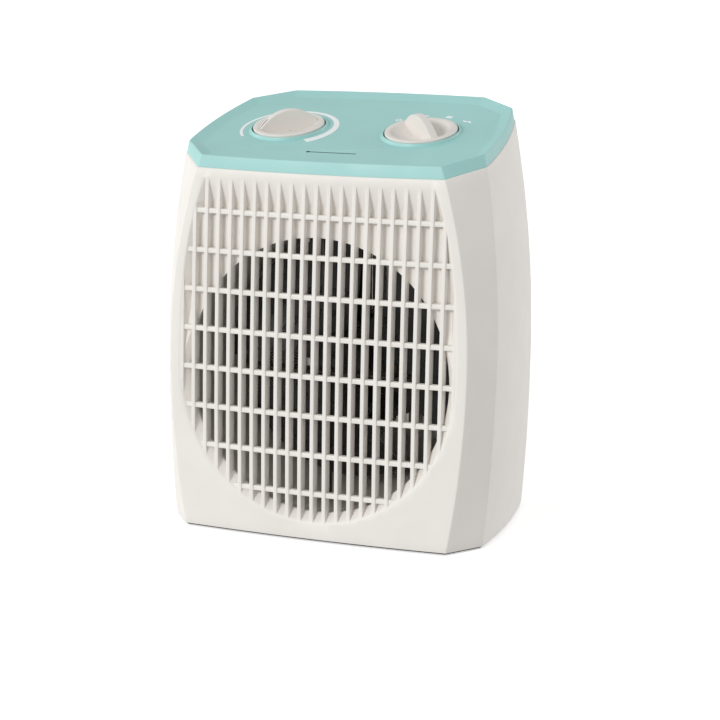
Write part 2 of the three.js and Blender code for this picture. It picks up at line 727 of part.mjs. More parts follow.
function fanImpeller() {
  const hub = turnedAlongY([
    [shaftRadius + seam, fan.hubFront], [fan.hub - 5, fan.hubFront], [fan.hub, fan.hubFront + 5],
    [fan.hub, fan.hubBack], [fan.hub - 2, fan.hubBack], [fan.hub - 2, fan.hubFront + 7],
    [6, fan.hubFront + 5], [6, fan.hubBack], [shaftRadius + seam, fan.hubBack],
    [shaftRadius + seam, fan.hubFront],
  ], 20);
  const blades = Array.from({ length: fan.blades }, (_, k) => fanBlade(fan.start + k * 360 / fan.blades));
  const hollow = solid(turnedAlongY(tube(6.2, fan.hub - 2, fan.hubFront + 7.2, fan.hubBack + 9), 20));
  return join(solid(hub), ...blades.map((b) => cut(b, hollow)));
}

function motorSpider() {
  const back = spiderFront + spiderThickness;
  const arms = [90, 210, 330].map((a) => {
    const arm = new THREE.BoxGeometry(9, spiderThickness, spiderRadius - 6)
      .translate(0, 0, (spiderRadius + 6) / 2)
      .rotateY(-(a - 90) * degrees)
      .translate(0, (spiderFront + back) / 2, axisHeight);
    return solid(arm);
  });
  const ends = spiderEnds.map(([x, z]) => solid(turnedAlongY(rod(4.5, spiderFront, back), 12, x, z)));
  const plate = solid(extrudedAlongY(
    rectangle(-27.5, 27.5, axisHeight - 20, axisHeight + 20), spiderFront, back,
  ));
  const boss = solid(turnedAlongY(rod(8, 12, back), 20));
  return cut(
    join(plate, boss, ...arms, ...ends),
    solid(turnedAlongY(rod(shaftRadius + seam, 0, 40), 16)),
    ...spiderEnds.map(([x, z]) => solid(turnedAlongY(rod(pilotRadius, 10, 30), 8, x, z))),
    ...[-motorScrewX, motorScrewX].map((x) => solid(turnedAlongY(rod(pilotRadius, 10, 30), 10, x))),
  );
}

function motorStator() {
  const holes = [
    roundHole(0, axisHeight, stack.bore),
    roundHole(-motorScrewX, axisHeight, pilotRadius),
    roundHole(motorScrewX, axisHeight, pilotRadius),
    new THREE.Path(rectangle(-18, 18, axisHeight - 32, axisHeight - 18)
      .reverse().map(([x, z]) => new THREE.Vector2(x, z))),
  ];
  return extrudedAlongY(
    rectangle(-stack.half, stack.half, axisHeight + stack.low, axisHeight + stack.high),
    stack.front, stack.back, holes,
  );
}

function motorCoil() {
  const z = axisHeight;
  return cut(
    solid(box(-15, 15, stack.front - 6, stack.back + 6, z - 49, z - 25)),
    solid(box(-20, 20, stack.front - seam, stack.back + seam, z - 42.3, z - 31.7)),
  );
}

function motorRearBracket() {
  const front = stack.back + seam;
  const plateFront = front + 5;
  return cut(
    join(
      solid(box(-27, 27, plateFront, plateFront + 1.6, axisHeight - 6, axisHeight + 6)),
      ...[-motorScrewX, motorScrewX].map((x) => solid(turnedAlongY(rod(3.8, front, plateFront + 1), 12, x))),
      solid(turnedAlongY(rod(6.5, plateFront - 3, plateFront + 5), 16)),
    ),
    solid(turnedAlongY(rod(shaftRadius + seam, 40, 70), 16)),
    ...[-motorScrewX, motorScrewX].map((x) => solid(turnedAlongY(rod(pilotRadius, 30, 70), 10, x))),
  );
}

/** The shaft with its rotor. */
function motorRotor() {
  return turnedAlongY([
    [0, fan.hubFront + 2], [shaftRadius, fan.hubFront + 2], [shaftRadius, stack.front - 1],
    [stack.bore - 0.5, stack.front - 1], [stack.bore - 0.5, stack.back], [shaftRadius, stack.back],
    [shaftRadius, stack.back + 12], [0, stack.back + 12],
  ], 24);
}

const spinnerCap = () => turnedAlongY([
  [0, fan.hubFront - 4.2], [4, fan.hubFront - 3.6], [8, fan.hubFront - seam], [0, fan.hubFront - seam],
], 20);

// ---------------------------------------------------------------- fasteners and electrical pieces

/** Pan-head screw along Z, head on top, with its bearing face at height 0. */
const screw = (length, head = 3.1) => turned([
  [0, -length], [screwRadius, -length + 1.2], [screwRadius, 0], [head, 0], [head, 1.4], [0, 2.1],
], 6);
const headBack = (geometry) => geometry.rotateX(-Math.PI / 2);   // the head faces the rear
const headDown = (geometry) => geometry.rotateX(Math.PI);

function cordGland() {
  const { hole, x, height } = gland;
  return turnedAlongY([
    [3.4, 62], [hole + 2.4, 62], [hole + 2.4, 65.8], [hole - seam, 65.8], [hole - seam, 69.3],
    [hole + 2.0, 69.3], [hole + 1.2, 70.3], [3.4, 70.3], [3.4, 62],
  ], 14, x, height);
}

function terminalBlock() {
  const body = box(-18, 18, 48 - 14, 48, basePlateTop + seam, basePlateTop + 13);
  const wells = [-11, 0, 11].map((x) => solid(
    turned(rod(2.6, basePlateTop + 6, basePlateTop + 20), 10).translate(x, 41, 0),
  ));
  return cut(solid(body), ...wells);
}

const thermalCutout = () => join(
  solid(turned(rod(4.0, 0, 6.5), 14)),
  solid(box(-2.2, 2.2, -8, 8, 1.5, 3.0)),
);

// ---------------------------------------------------------------- assembly

const finish = {
  casing: { color: 0xece9e3, roughness: 0.5, metalness: 0 },
  cover: { color: 0x9fcdc9, roughness: 0.5, metalness: 0 },
  knob: { color: 0xe6e2db, roughness: 0.45, metalness: 0 },
  dark: { color: 0x2d2c2b, roughness: 0.6, metalness: 0 },
  rubber: { color: 0x202020, roughness: 0.9, metalness: 0 },
  lens: { color: 0x4f6b69, roughness: 0.3, metalness: 0 },
  steel: { color: 0xb4b6b8, roughness: 0.35, metalness: 1 },
  zinc: { color: 0xa9abac, roughness: 0.45, metalness: 1 },
  copper: { color: 0xa4512a, roughness: 0.4, metalness: 0.9 },
  mica: { color: 0x4a4038, roughness: 0.7, metalness: 0 },
  wire: { color: 0x5c5a58, roughness: 0.4, metalness: 1 },
  phenolic: { color: 0x3a2c22, roughness: 0.6, metalness: 0 },
};

const heater = new THREE.Group();
const lifted = new THREE.Group();
lifted.position.z = footLift;
heater.add(lifted);
const slopeGroup = new THREE.Group();
slopeGroup.position.copy(slopeOrigin);
slopeGroup.rotation.x = slope;
lifted.add(slopeGroup);

function add(group, name, shape, look) {
  const geometry = shape.isBufferGeometry ? shape : geometryOf(shape);
  const mesh = new THREE.Mesh(geometry, new THREE.MeshStandardMaterial(finish[look]));
  mesh.name = name;
  group.add(mesh);
  return mesh;
}

add(lifted, 'front_shell', frontShell(), 'casing');
add(lifted, 'rear_shell', rearShell(), 'casing');
add(lifted, 'top_cover', topCover(), 'cover');
add(lifted, 'base_plate', basePlate(), 'dark');
Object.entries(footPlaces).forEach(([name, [x, y]]) => {
  add(lifted, name, foot(), 'rubber').position.set(x, y, 0);
});

add(slopeGroup, 'pilot_lens', pilotLens(), 'lens');
add(slopeGroup, 'pilot_lamp', turned(rod(2.6, -7, 7), 12).rotateY(Math.PI / 2), 'lens')
  .position.set(0, slit.along, -9);
add(slopeGroup, 'control_bracket', controlBracket(), 'zinc');
const controls = [
  ['thermostat', knobPlaces[0], thermostatPointer, thermostatHousing],
  ['selector', knobPlaces[1], selectorPointer, selectorHousing],
];
controls.forEach(([name, x, pointer, housing]) => {
  const place = (mesh) => mesh.position.set(x, knobAlong, 0);
  place(add(slopeGroup, `${name}_body`, controlBody(housing()), 'phenolic'));
  place(add(slopeGroup, `${name}_nut`, controlNut(), 'zinc'));
  place(add(slopeGroup, `${name}_spindle`, spindle(bracketLevel - 8.4), 'steel'));
  const handle = add(slopeGroup, `${name}_knob`, knob(), 'knob');
  place(handle);
  handle.rotation.z = pointer * degrees;
});
coverPosts.forEach(([x, v], i) => {
  add(slopeGroup, `bracket_screw_${i + 1}`, headDown(screw(7)), 'zinc')
    .position.set(x, v, bracketLevel - plateThickness - seam);
});

add(lifted, 'air_duct', airDuct(), 'casing');
const cardMiddle = (element.front + element.back) / 2;
const uprightCard = add(
  lifted, 'mica_card_upright', card(element.uprightReach, cardMiddle - seam / 2, element.back + 1), 'mica',
);
const levelCard = add(
  lifted, 'mica_card_level', card(element.levelReach, element.front - 1, cardMiddle + seam / 2), 'mica',
);
[uprightCard, levelCard].forEach((mesh) => mesh.position.set(0, 0, axisHeight));
uprightCard.quaternion.setFromRotationMatrix(
  new THREE.Matrix4().makeBasis(point(0, 0, 1), point(1, 0, 0), point(0, 1, 0)),
);
levelCard.quaternion.setFromRotationMatrix(
  new THREE.Matrix4().makeBasis(point(-1, 0, 0), point(0, 0, 1), point(0, 1, 0)),
);
element.rings.forEach((radius, i) => {
  add(lifted, `heating_coil_${['inner', 'middle', 'outer'][i]}`, coilRing(radius), 'wire');
});
add(lifted, 'thermal_cutout', thermalCutout(), 'phenolic')
  .position.set(element.cutoutX, cardMiddle, axisHeight + element.thickness / 2 + seam);

add(lifted, 'fan_impeller', fanImpeller(), 'dark');
add(lifted, 'fan_cap', spinnerCap(), 'dark');
add(lifted, 'motor_rotor', motorRotor(), 'steel');
add(lifted, 'motor_spider', motorSpider(), 'zinc');
add(lifted, 'motor_stator', motorStator(), 'steel');
add(lifted, 'motor_coil', motorCoil(), 'copper');
add(lifted, 'motor_rear_bracket', motorRearBracket(), 'zinc');

const rearFace = stack.back + seam + 5 + 1.6 + seam;
[-motorScrewX, motorScrewX].forEach((x, i) => {
  add(lifted, `motor_screw_${i + 1}`, headBack(screw(28)), 'zinc').position.set(x, rearFace, axisHeight);
});
ductScrews.forEach(([x, z], i) => {
  add(lifted, `duct_screw_${i + 1}`, headBack(screw(4.6)), 'zinc')
    .position.set(x, duct.front + duct.rimThickness + seam, z);
});
spiderEnds.forEach(([x, z], i) => {
  add(lifted, `spider_screw_${i + 1}`, headBack(screw(7)), 'zinc')
    .position.set(x, spiderFront + spiderThickness + seam, z);
});
rearPosts.forEach(([x, z], i) => {
  add(lifted, `rear_screw_${i + 1}`, headBack(screw(14)), 'zinc').position.set(x, screwSeat + seam, z);
});
baseBosses.forEach(([x, y], i) => {
  add(lifted, `base_screw_${i + 1}`, headDown(screw(9)), 'zinc').position.set(x, y, 0.9 - seam);
});
add(lifted, 'cord_gland', cordGland(), 'rubber');
add(lifted, 'terminal_block', terminalBlock(), 'knob');

export default heater;
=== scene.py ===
"""Fine visual model of the fan heater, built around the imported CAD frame."""
import math

import bmesh
import bpy
import numpy as np
from mathutils import Matrix, Vector
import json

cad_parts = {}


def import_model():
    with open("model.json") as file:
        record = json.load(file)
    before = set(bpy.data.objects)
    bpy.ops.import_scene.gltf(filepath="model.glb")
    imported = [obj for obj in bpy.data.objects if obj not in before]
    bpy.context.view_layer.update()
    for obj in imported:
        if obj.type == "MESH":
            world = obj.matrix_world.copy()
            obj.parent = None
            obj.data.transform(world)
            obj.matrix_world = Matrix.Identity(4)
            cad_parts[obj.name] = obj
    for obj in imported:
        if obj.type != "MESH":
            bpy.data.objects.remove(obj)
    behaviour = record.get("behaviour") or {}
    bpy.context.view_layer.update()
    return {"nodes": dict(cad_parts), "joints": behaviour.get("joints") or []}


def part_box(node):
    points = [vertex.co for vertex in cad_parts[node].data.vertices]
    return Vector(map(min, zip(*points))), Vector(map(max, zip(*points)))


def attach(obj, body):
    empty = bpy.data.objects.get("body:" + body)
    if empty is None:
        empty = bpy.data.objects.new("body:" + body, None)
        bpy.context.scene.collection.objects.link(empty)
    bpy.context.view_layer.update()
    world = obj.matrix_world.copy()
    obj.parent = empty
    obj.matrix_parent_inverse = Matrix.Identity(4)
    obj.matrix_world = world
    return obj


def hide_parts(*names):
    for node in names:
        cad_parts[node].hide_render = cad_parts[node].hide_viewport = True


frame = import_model()

# Sizes below are millimetres, with heights above the casing's lower edge, as in the CAD source.
MM = 0.001
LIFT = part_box("front_shell")[0].z / MM

WALL = 2.4
SEAM = 0.3                         # gap between the shells, and between the duct and the backing
WAIST, CROWN = 112.0, 224.0        # heights of the widest level and of the casing's top at its middle
# Half widths of the plan's corners at the foot, waist and crown.
HALF_WIDTH = {
    "front": (86.1, 96.6, 79.6),
    "side_front": (102.6, 108.3, 98.9),
    "side_back": (98.8, 103.4, 94.6),
    "back": (74.0, 80.0, 71.5),
}
# Leaning faces as depth at the waist, lean and belly.
FRONT_FACE = (-66.4, 0.055, 0.000185)
SIDE_FRONT_EDGE = (-40.2, 0.0616, 0.000064)
SIDE_BACK_DEPTH, BACK_DEPTH = 50.3, 68.3
FRONT_RADIUS, SIDE_BOW, BACK_BOW = 1183.0, 3.2, 2.0
SEAM_DEPTH = 49.0

RIM_DROP, RIM_WIDTH, BAND_HEIGHT = 2.5, 8.0, 7.3
COVER_INSET, COVER_THICKNESS, SKIRT_THICKNESS = 0.6, 2.2, 3.4
COVER_BOTTOM = RIM_DROP - BAND_HEIGHT
COVER_GAP = 0.03

FIN_PITCH, FINS_EACH_SIDE, FIN_THICKNESS, FIN_DEPTH, FIN_SETBACK = 8.055, 11, 2.4, 7.0, 0.2
BAR_PITCH, BAR_COUNT, LOWEST_BAR, BAR_HEIGHT, BAR_DEPTH, BAR_SETBACK = 24.2, 8, 26.9, 3.0, 3.4, 0.7
MOUTH_RADIUS, MOUTH_HEIGHT, MOUTH_NARROWING = 89.6, 100.0, 15.8
RAMP_TOP, RAMP_FOOT, RECESS_DRAFT = 218.5, 203.0, 4.2
BACKING_DEPTH, BACKING_THICKNESS, BACKING_TOP = 5.5, 2.4, 220.4
FLAT_END, FORWARD_END = 135.0, 100.0
AXIS_HEIGHT, ORIFICE_RADIUS = 100.5, 84.4


def joint(name):
    """The frame's record of a joint."""
    return next(j for j in frame["joints"] if j["name"] == name)


# The sloping panel is the plane through the knobs' pivots, square to their axis.
PANEL_NORMAL = Vector(joint("selector_turn")["axis"]).normalized()
KNOB_CENTRE = {
    "thermostat": Vector(joint("thermostat_turn")["pos_m"]),
    "selector": Vector(joint("selector_turn")["pos_m"]),
}
ALONG = Vector((1, 0, 0)).cross(PANEL_NORMAL) * -1          # up the slope, towards the back
TILT = math.atan2(ALONG.z, ALONG.y)


def slope_height(y, above):
    """Height of the plane that lies a distance above the panel, at depth y."""
    origin = KNOB_CENTRE["selector"]
    return (origin.z / MM - LIFT) + (y - origin.y / MM) * math.tan(TILT) + above / math.cos(TILT)


# ------------------------------------------------------------------ mesh helpers


def world(points):
    """Points in the CAD source's millimetres as metres in the row frame."""
    points = np.asarray(points, float).reshape(-1, 3)
    return (points + (0, 0, LIFT)) * MM


def mesh_object(name, points, faces, metres=False):
    """Object from points and faces, with its faces turned outwards."""
    mesh = bpy.data.meshes.new(name)
    coords = np.asarray(points, float) if metres else world(points)
    mesh.from_pydata(coords.tolist(), [], faces)
    mesh.validate()
    work = bmesh.new()
    work.from_mesh(mesh)
    bmesh.ops.recalc_face_normals(work, faces=work.faces)
    work.to_mesh(mesh)
    work.free()
    obj = bpy.data.objects.new(name, mesh)
    bpy.context.scene.collection.objects.link(obj)
    return obj


def loft(name, rings, capped=True, metres=False):
    """Skin through equal rings. Capped ends are single faces; uncapped rings run back to the first."""
    count, rows = len(rings[0]), len(rings)
    faces = []
    for r in range(rows - 1 if capped else rows):
        a, b = r * count, (r + 1) % rows * count
        for i in range(count):
            j = (i + 1) % count
            faces.append((a + i, a + j, b + j, b + i))
    if capped:
        last = (rows - 1) * count
        faces.append(tuple(range(count)))
        faces.append(tuple(range(last, last + count)))
    return mesh_object(name, np.concatenate([np.asarray(r, float) for r in rings]), faces, metres)


def joined(name, objects):
    """One object out of several that don't touch."""
    work = bmesh.new()
    for obj in objects:
        work.from_mesh(obj.data)
        bpy.data.objects.remove(obj)
    mesh = bpy.data.meshes.new(name)
    work.to_mesh(mesh)
    work.free()
    obj = bpy.data.objects.new(name, mesh)
    bpy.context.scene.collection.objects.link(obj)
    return obj


def combine(obj, tool, operation="DIFFERENCE"):
    """Cuts obj by tool, or joins or intersects them, and removes the tool."""
    modifier = obj.modifiers.new("combine", "BOOLEAN")
    modifier.operation = operation
    modifier.solver = "MANIFOLD"
    modifier.object = tool
    graph = bpy.context.evaluated_depsgraph_get()
    mesh = bpy.data.meshes.new_from_object(obj.evaluated_get(graph))
    obj.modifiers.clear()
    obj.data = mesh
    bpy.data.objects.remove(tool)
    return obj


def smooth(obj, degrees=32):
    """Smooth shading that stays sharp along edges steeper than the angle."""
    obj.data.polygons.foreach_set("use_smooth", [True] * len(obj.data.polygons))
    obj.data.set_sharp_from_angle(angle=math.radians(degrees))
    return obj


def box(name, low, high, metres=False):
    """Block between two corners."""
    corners = [(x, y, z) for z in (low[2], high[2]) for x, y in
               ((low[0], low[1]), (high[0], low[1]), (high[0], high[1]), (low[0], high[1]))]
    faces = [(0, 1, 2, 3), (4, 5, 6, 7), (0, 1, 5, 4), (1, 2, 6, 5), (2, 3, 7, 6), (3, 0, 4, 7)]
    return mesh_object(name, corners, faces, metres)


def turned(name, profile, place, segments=96):
    """Closed turned shape about its own Z from [radius, height] in millimetres, placed by a matrix."""
    angles = np.linspace(0, 2 * math.pi, segments, endpoint=False)
    points, faces, rows = [], [], []
    for radius, height in profile:
        if radius == 0:
            rows.append((len(points), 1))
            points.append((0, 0, height))
        else:
            rows.append((len(points), segments))
            points.extend((radius * math.cos(a), radius * math.sin(a), height) for a in angles)
    on_axis = profile[0][0] == 0
    pairs = list(zip(rows, rows[1:])) + ([] if on_axis else [(rows[-1], rows[0])])
    for (a, count_a), (b, count_b) in pairs:
        for i in range(segments):
            j = (i + 1) % segments
            quad = (a + i % count_a, a + j % count_a, b + j % count_b, b + i % count_b)
            faces.append(tuple(dict.fromkeys(quad)))
    coords = [place @ (Vector(p) * MM) for p in points]
    return mesh_object(name, coords, faces, metres=True)


def cylinder(name, radius, start, end, place, segments):
    """Round bar between two heights about a matrix's own Z."""
    return turned(name, [(0, start), (radius, start), (radius, end), (0, end)], place, segments)


def arc(centre, radius, start, end, steps):
    """Points of a circular arc, in degrees, as (first, second) pairs."""
    return [(centre[0] + radius * math.cos(math.radians(start + (end - start) * i / steps)),
             centre[1] + radius * math.sin(math.radians(start + (end - start) * i / steps)))
            for i in range(steps + 1)]


def on_panel(name, angle=0.0):
    """Matrix from a knob's own frame to the row frame: Z is out of the panel, X across the heater."""
    basis = Matrix((Vector((1, 0, 0)), ALONG, PANEL_NORMAL)).transposed().to_4x4()
    return Matrix.Translation(KNOB_CENTRE[name]) @ basis @ Matrix.Rotation(math.radians(angle), 4, "Z")


# The panel's own frame, with its origin midway between the knobs.
PANEL = Matrix.Translation((KNOB_CENTRE["thermostat"] + KNOB_CENTRE["selector"]) / 2) @ on_panel(
    "selector").to_3x3().to_4x4()


def panel_prism(name, shape, bottom, top):
    """Prism on an outline in the panel's frame, between two heights over it."""
    rings = [[PANEL @ (Vector((x, v, w)) * MM) for x, v in shape] for w in (bottom, top)]
    return loft(name, rings, metres=True)


def along_duct(height=AXIS_HEIGHT, x=0.0):
    """Matrix that turns Z into the airway's axis, which runs to the back."""
    return Matrix.Translation((x * MM, 0, (height + LIFT) * MM)) @ Matrix.Rotation(-math.pi / 2, 4, "X")


# ------------------------------------------------------------------ casing surface


def barrel(values, h):
    """Half width at a height, which bulges at the waist."""
    foot, waist, crown = values
    end = np.where(h > WAIST, crown, foot)
    span = np.where(h > WAIST, CROWN - WAIST, WAIST)
    return waist - (waist - end) * ((h - WAIST) / span) ** 2


def leaning(face, h):
    """Depth of a leaning face at a height."""
    middle, lean, belly = face
    return middle + lean * (h - WAIST) + belly * (h - WAIST) ** 2


def front_depth(x, h):
    """Depth of the bowed front face."""
    return leaning(FRONT_FACE, h) + x * x / (2 * FRONT_RADIUS)


FACE_STEPS = (44, 4, 16, 4, 28, 4, 16, 4)
CORNER_CUT = (0.7, 0.7, 0.6, 0.6, 0.9, 0.9, 0.6, 0.6)
CORNER_STEPS = 5


def outline(h, inset):
    """Plan of the casing at height h, moved inwards, with its upright edges rounded."""
    fx = float(barrel(HALF_WIDTH["front"], h))
    right = [
        (fx, float(front_depth(fx, h))),
        (float(barrel(HALF_WIDTH["side_front"], h)), float(leaning(SIDE_FRONT_EDGE, h))),
        (float(barrel(HALF_WIDTH["side_back"], h)), SIDE_BACK_DEPTH),
        (float(barrel(HALF_WIDTH["back"], h)), BACK_DEPTH),
    ]
    corners = np.array([(-right[0][0], right[0][1]), *right, *[(-x, y) for x, y in right[:0:-1]]])
    bows = np.zeros((8, 2))
    bows[0] = (0, -fx * fx / (2 * FRONT_RADIUS))
    bows[2], bows[6] = (SIDE_BOW, 0), (-SIDE_BOW, 0)
    bows[4] = (0, BACK_BOW)
    ends = np.roll(corners, -1, axis=0)
    start_way = ends - corners + 4 * bows
    end_way = ends - corners - 4 * bows
    start_way /= np.linalg.norm(start_way, axis=1)[:, None]
    end_way /= np.linalg.norm(end_way, axis=1)[:, None]
    if inset:
        moved = []
        for i in range(8):
            before, after = end_way[i - 1], start_way[i]
            a = corners[i] + inset * np.array((-before[1], before[0]))
            b = corners[i] + inset * np.array((-after[1], after[0]))
            reach = np.linalg.solve(np.array((before, -after)).T, b - a)[0]
            moved.append(a + before * reach)
        corners = np.array(moved)
        ends = np.roll(corners, -1, axis=0)
    lengths = np.linalg.norm(ends - corners, axis=1)

    def face(i, t):
        t = np.asarray(t)[..., None]
        return corners[i] + (ends[i] - corners[i]) * t + bows[i] * 4 * t * (1 - t)

    points = []
    for i in range(8):
        following = (i + 1) % 8
        first = CORNER_CUT[i] / lengths[i]
        last = 1 - CORNER_CUT[following] / lengths[i]
        points.append(face(i, np.linspace(first, last, FACE_STEPS[i] + 1)))
        a, c = face(i, last), face(following, CORNER_CUT[following] / lengths[following])
        s = np.linspace(0, 1, CORNER_STEPS + 1)[1:-1, None]
        points.append(a * (1 - s) ** 2 + 2 * corners[following] * s * (1 - s) + c * s ** 2)
    return np.concatenate(points)


class Skin:
    """The casing's surface moved inwards by a distance, as plans at close heights."""

    STEP = 4.0

    def __init__(self, inset):
        self.levels = np.arange(-8.0, 280.0, self.STEP)
        self.plans = np.array([outline(h, inset) for h in self.levels])

    def ring(self, height_at):
        """Closed ring of points whose heights follow a function of how far back they are."""
        column = np.arange(self.plans.shape[1])
        heights = np.full(len(column), CROWN)
        for _ in range(5):
            place = (heights - self.levels[0]) / self.STEP
            low = np.floor(place).astype(int)
            share = (place - low)[:, None]
            plan = self.plans[low, column] * (1 - share) + self.plans[low + 1, column] * share
            heights = np.broadcast_to(height_at(plan[:, 1]), heights.shape)
        return np.column_stack((plan, heights))


SKINS = {}


def ring(inset, height_at):
    """Ring on the casing's surface moved inwards; each distance's skin is made once."""
    key = round(inset, 3)
    if key not in SKINS:
        SKINS[key] = Skin(inset)
    return SKINS[key].ring(height_at)


def level(h):
    """Heights of a level plane."""
    return lambda y: np.full_like(y, h)


def parallel(above):
    """Heights of a plane parallel to the panel."""
    return lambda y: slope_height(y, above)


def casing_tube():
    """The casing's wall all round, open at both ends, with softened upper and lower edges."""
    top = COVER_BOTTOM - COVER_GAP
    steps_outside, steps_inside = 44, 16
    rings = [ring(0.5, level(0.0)), ring(0.15, level(0.15)), ring(0.0, level(0.5))]
    for s in range(1, steps_outside):
        share = s / steps_outside
        rings.append(ring(0.0, lambda y: 0.5 + (slope_height(y, top) - 1.0) * share))
    rings += [
        ring(0.0, lambda y: slope_height(y, top) - 0.3),
        ring(0.1, lambda y: slope_height(y, top) - 0.1),
        ring(0.3, parallel(top)),
        ring(WALL, parallel(top)),
    ]
    for s in range(1, steps_inside):
        share = 1 - s / steps_inside
        rings.append(ring(WALL, lambda y: slope_height(y, top) * share))
    rings.append(ring(WALL, level(0.0)))
    return loft("casing", rings, capped=False)


# ------------------------------------------------------------------ front shell and grille


def opening_half_width(h):
    """Half width of the grille's opening: round below, drawn in above."""
    if h > MOUTH_HEIGHT:
        return MOUTH_RADIUS - MOUTH_NARROWING * ((h - MOUTH_HEIGHT) / (RAMP_TOP - MOUTH_HEIGHT)) ** 3
    return math.sqrt(max(0.0, MOUTH_RADIUS ** 2 - (h - MOUTH_HEIGHT) ** 2))


def opening_outline(margin, top, closed_below):
    """Outline of the opening as (x, height), anticlockwise seen from the front, grown by a margin."""
    right = [(opening_half_width(h) + margin, h) for h in np.linspace(MOUTH_HEIGHT, top, 40)]
    left = [(-x, h) for x, h in reversed(right)]
    below = []
    if closed_below:
        below = arc((0, MOUTH_HEIGHT), MOUTH_RADIUS + margin, 180, 360, 72)[1:-1]
    return [*right, *left, *below]


def backing_at(h):
    """Depth of the recess, which runs out to the front face at its top and beside the mouth."""
    if h > RAMP_FOOT:
        return BACKING_DEPTH * (RAMP_TOP - h) / (RAMP_TOP - RAMP_FOOT)
    if h > FLAT_END:
        return BACKING_DEPTH
    return BACKING_DEPTH * max(0.0, (h - FORWARD_END) / (FLAT_END - FORWARD_END))


def front_slab(near, far, half_span, heights, across=48):
    """Slab that follows the front face between two depths behind it, each a function of height."""
    xs = np.linspace(-half_span, half_span, across)
    rings = []
    for h in heights:
        rings.append([(x, front_depth(x, h) + near(h), h) for x in xs]
                     + [(x, front_depth(x, h) + far(h), h) for x in xs[::-1]])
    return loft("tool", rings)


def front_prism(stages, outline_of):
    """Solid behind an outline on the front face; stages are (depth, margin)."""
    return loft("tool", [[(x, front_depth(x, h) + depth, h) for x, h in outline_of(margin)]
                         for depth, margin in stages])


def recess_tool():
    """Space ahead of the backing, whose sides slope in like the mouth's funnel."""
    draft = RECESS_DRAFT / BACKING_DEPTH
    prism = front_prism(
        [(-4, 1.0), (-0.05, 0.5), (0.15, 0.1), (0.5, -0.5 * draft), (BACKING_DEPTH + 0.1, -RECESS_DRAFT),
         (14, -RECESS_DRAFT)],
        lambda margin: opening_outline(margin, RAMP_TOP, False),
    )
    heights = [*np.linspace(FORWARD_END - 0.5, FLAT_END, 12), *np.linspace(FLAT_END, RAMP_FOOT, 24)[1:],
               *np.linspace(RAMP_FOOT, RAMP_TOP + 0.1, 8)[1:]]
    return combine(prism, front_slab(lambda h: -3.0, backing_at, 94, heights), "INTERSECT")


def mouth_tool():
    """Round funnel from the front face to the orifice, with softened edges."""
    flare = (MOUTH_RADIUS - ORIFICE_RADIUS) / BACKING_DEPTH
    stages = [(-3, MOUTH_RADIUS + 1.2), (-0.05, MOUTH_RADIUS + 0.75), (0.15, MOUTH_RADIUS + 0.3),
              (0.5, MOUTH_RADIUS - 0.5 * flare + 0.05), (1.0, MOUTH_RADIUS - flare),
              (BACKING_DEPTH - 0.4, ORIFICE_RADIUS + 0.4 * flare),
              (BACKING_DEPTH - 0.1, ORIFICE_RADIUS + 0.15),
              (BACKING_DEPTH + 0.2, ORIFICE_RADIUS), (30, ORIFICE_RADIUS)]
    rings = []
    for depth, radius in stages:
        sink = min(max(depth / BACKING_DEPTH, 0), 1)
        height = MOUTH_HEIGHT + (AXIS_HEIGHT - MOUTH_HEIGHT) * sink
        rings.append([(x, front_depth(x, z) + depth, z)
                      for x, z in arc((0, height), radius, 0, 360, 180)[:-1]])
    return loft("tool", rings)


def fin(x):
    """Upright fin with rounded front edges."""
    inner_side = abs(x) - FIN_THICKNESS / 2
    bottom = MOUTH_HEIGHT - math.sqrt(MOUTH_RADIUS ** 2 - x * x) - 1.4
    narrowed = (MOUTH_RADIUS - inner_side) / MOUTH_NARROWING
    meets = MOUTH_HEIGHT + (RAMP_TOP - MOUTH_HEIGHT) * narrowed ** (1 / 3)
    top = min(RAMP_TOP, meets) + 0.6
    half, soft = FIN_THICKNESS / 2, 0.3
    nose = [*arc((half - soft, soft), soft, 0, -90, 4), *arc((soft - half, soft), soft, -90, -180, 4)]
    section = [(half + 0.1, FIN_DEPTH), *nose, (-half - 0.1, FIN_DEPTH)]
    rings = [[(x + across, front_depth(x, h) + FIN_SETBACK + depth * (1 - FIN_SETBACK / FIN_DEPTH), h)
              for across, depth in section] for h in np.linspace(bottom, top, 28)]
    return loft("fin", rings)


def bar(bottom):
    """Level bar between the fins, with rounded front edges and a face that leans back at its top."""
    middle = bottom + BAR_HEIGHT / 2
    reach = opening_half_width(middle) + 1.2
    half, soft, lean = BAR_HEIGHT / 2, 0.35, 0.5
    nose = [*arc((half - soft, soft + lean), soft, 0, -75, 4), *arc((soft - half, soft), soft, -100, -180, 4)]
    section = [(half, BAR_DEPTH), *nose, (-half, BAR_DEPTH)]
    return loft("bar", [[(x, front_depth(x, middle) + BAR_SETBACK + depth, middle + rise)
                         for rise, depth in section] for x in np.linspace(-reach, reach, 60)])


def front_shell():
    """Front and sides of the casing, with the recess, the mouth, the fins and the bars."""
    shell = combine(casing_tube(), box("tool", (-150, -100, -20), (150, SEAM_DEPTH, 300)), "INTERSECT")
    backing = front_slab(lambda h: 1.0, lambda h: BACKING_DEPTH + BACKING_THICKNESS, 94,
                         np.linspace(6, BACKING_TOP + 1, 30))
    prism = front_prism([(-2, WALL), (12, WALL)], lambda margin: opening_outline(margin, BACKING_TOP, True))
    combine(shell, combine(backing, prism, "INTERSECT"), "UNION")
    combine(shell, recess_tool())
    combine(shell, mouth_tool())
    places = range(-FINS_EACH_SIDE, FINS_EACH_SIDE + 1)
    combine(shell, joined("fins", [fin(k * FIN_PITCH) for k in places]), "UNION")
    combine(shell, joined("bars", [bar(LOWEST_BAR + k * BAR_PITCH) for k in range(BAR_COUNT)]), "UNION")
    shell.name = "front_casing"
    return smooth(shell)


# ------------------------------------------------------------------ rear shell

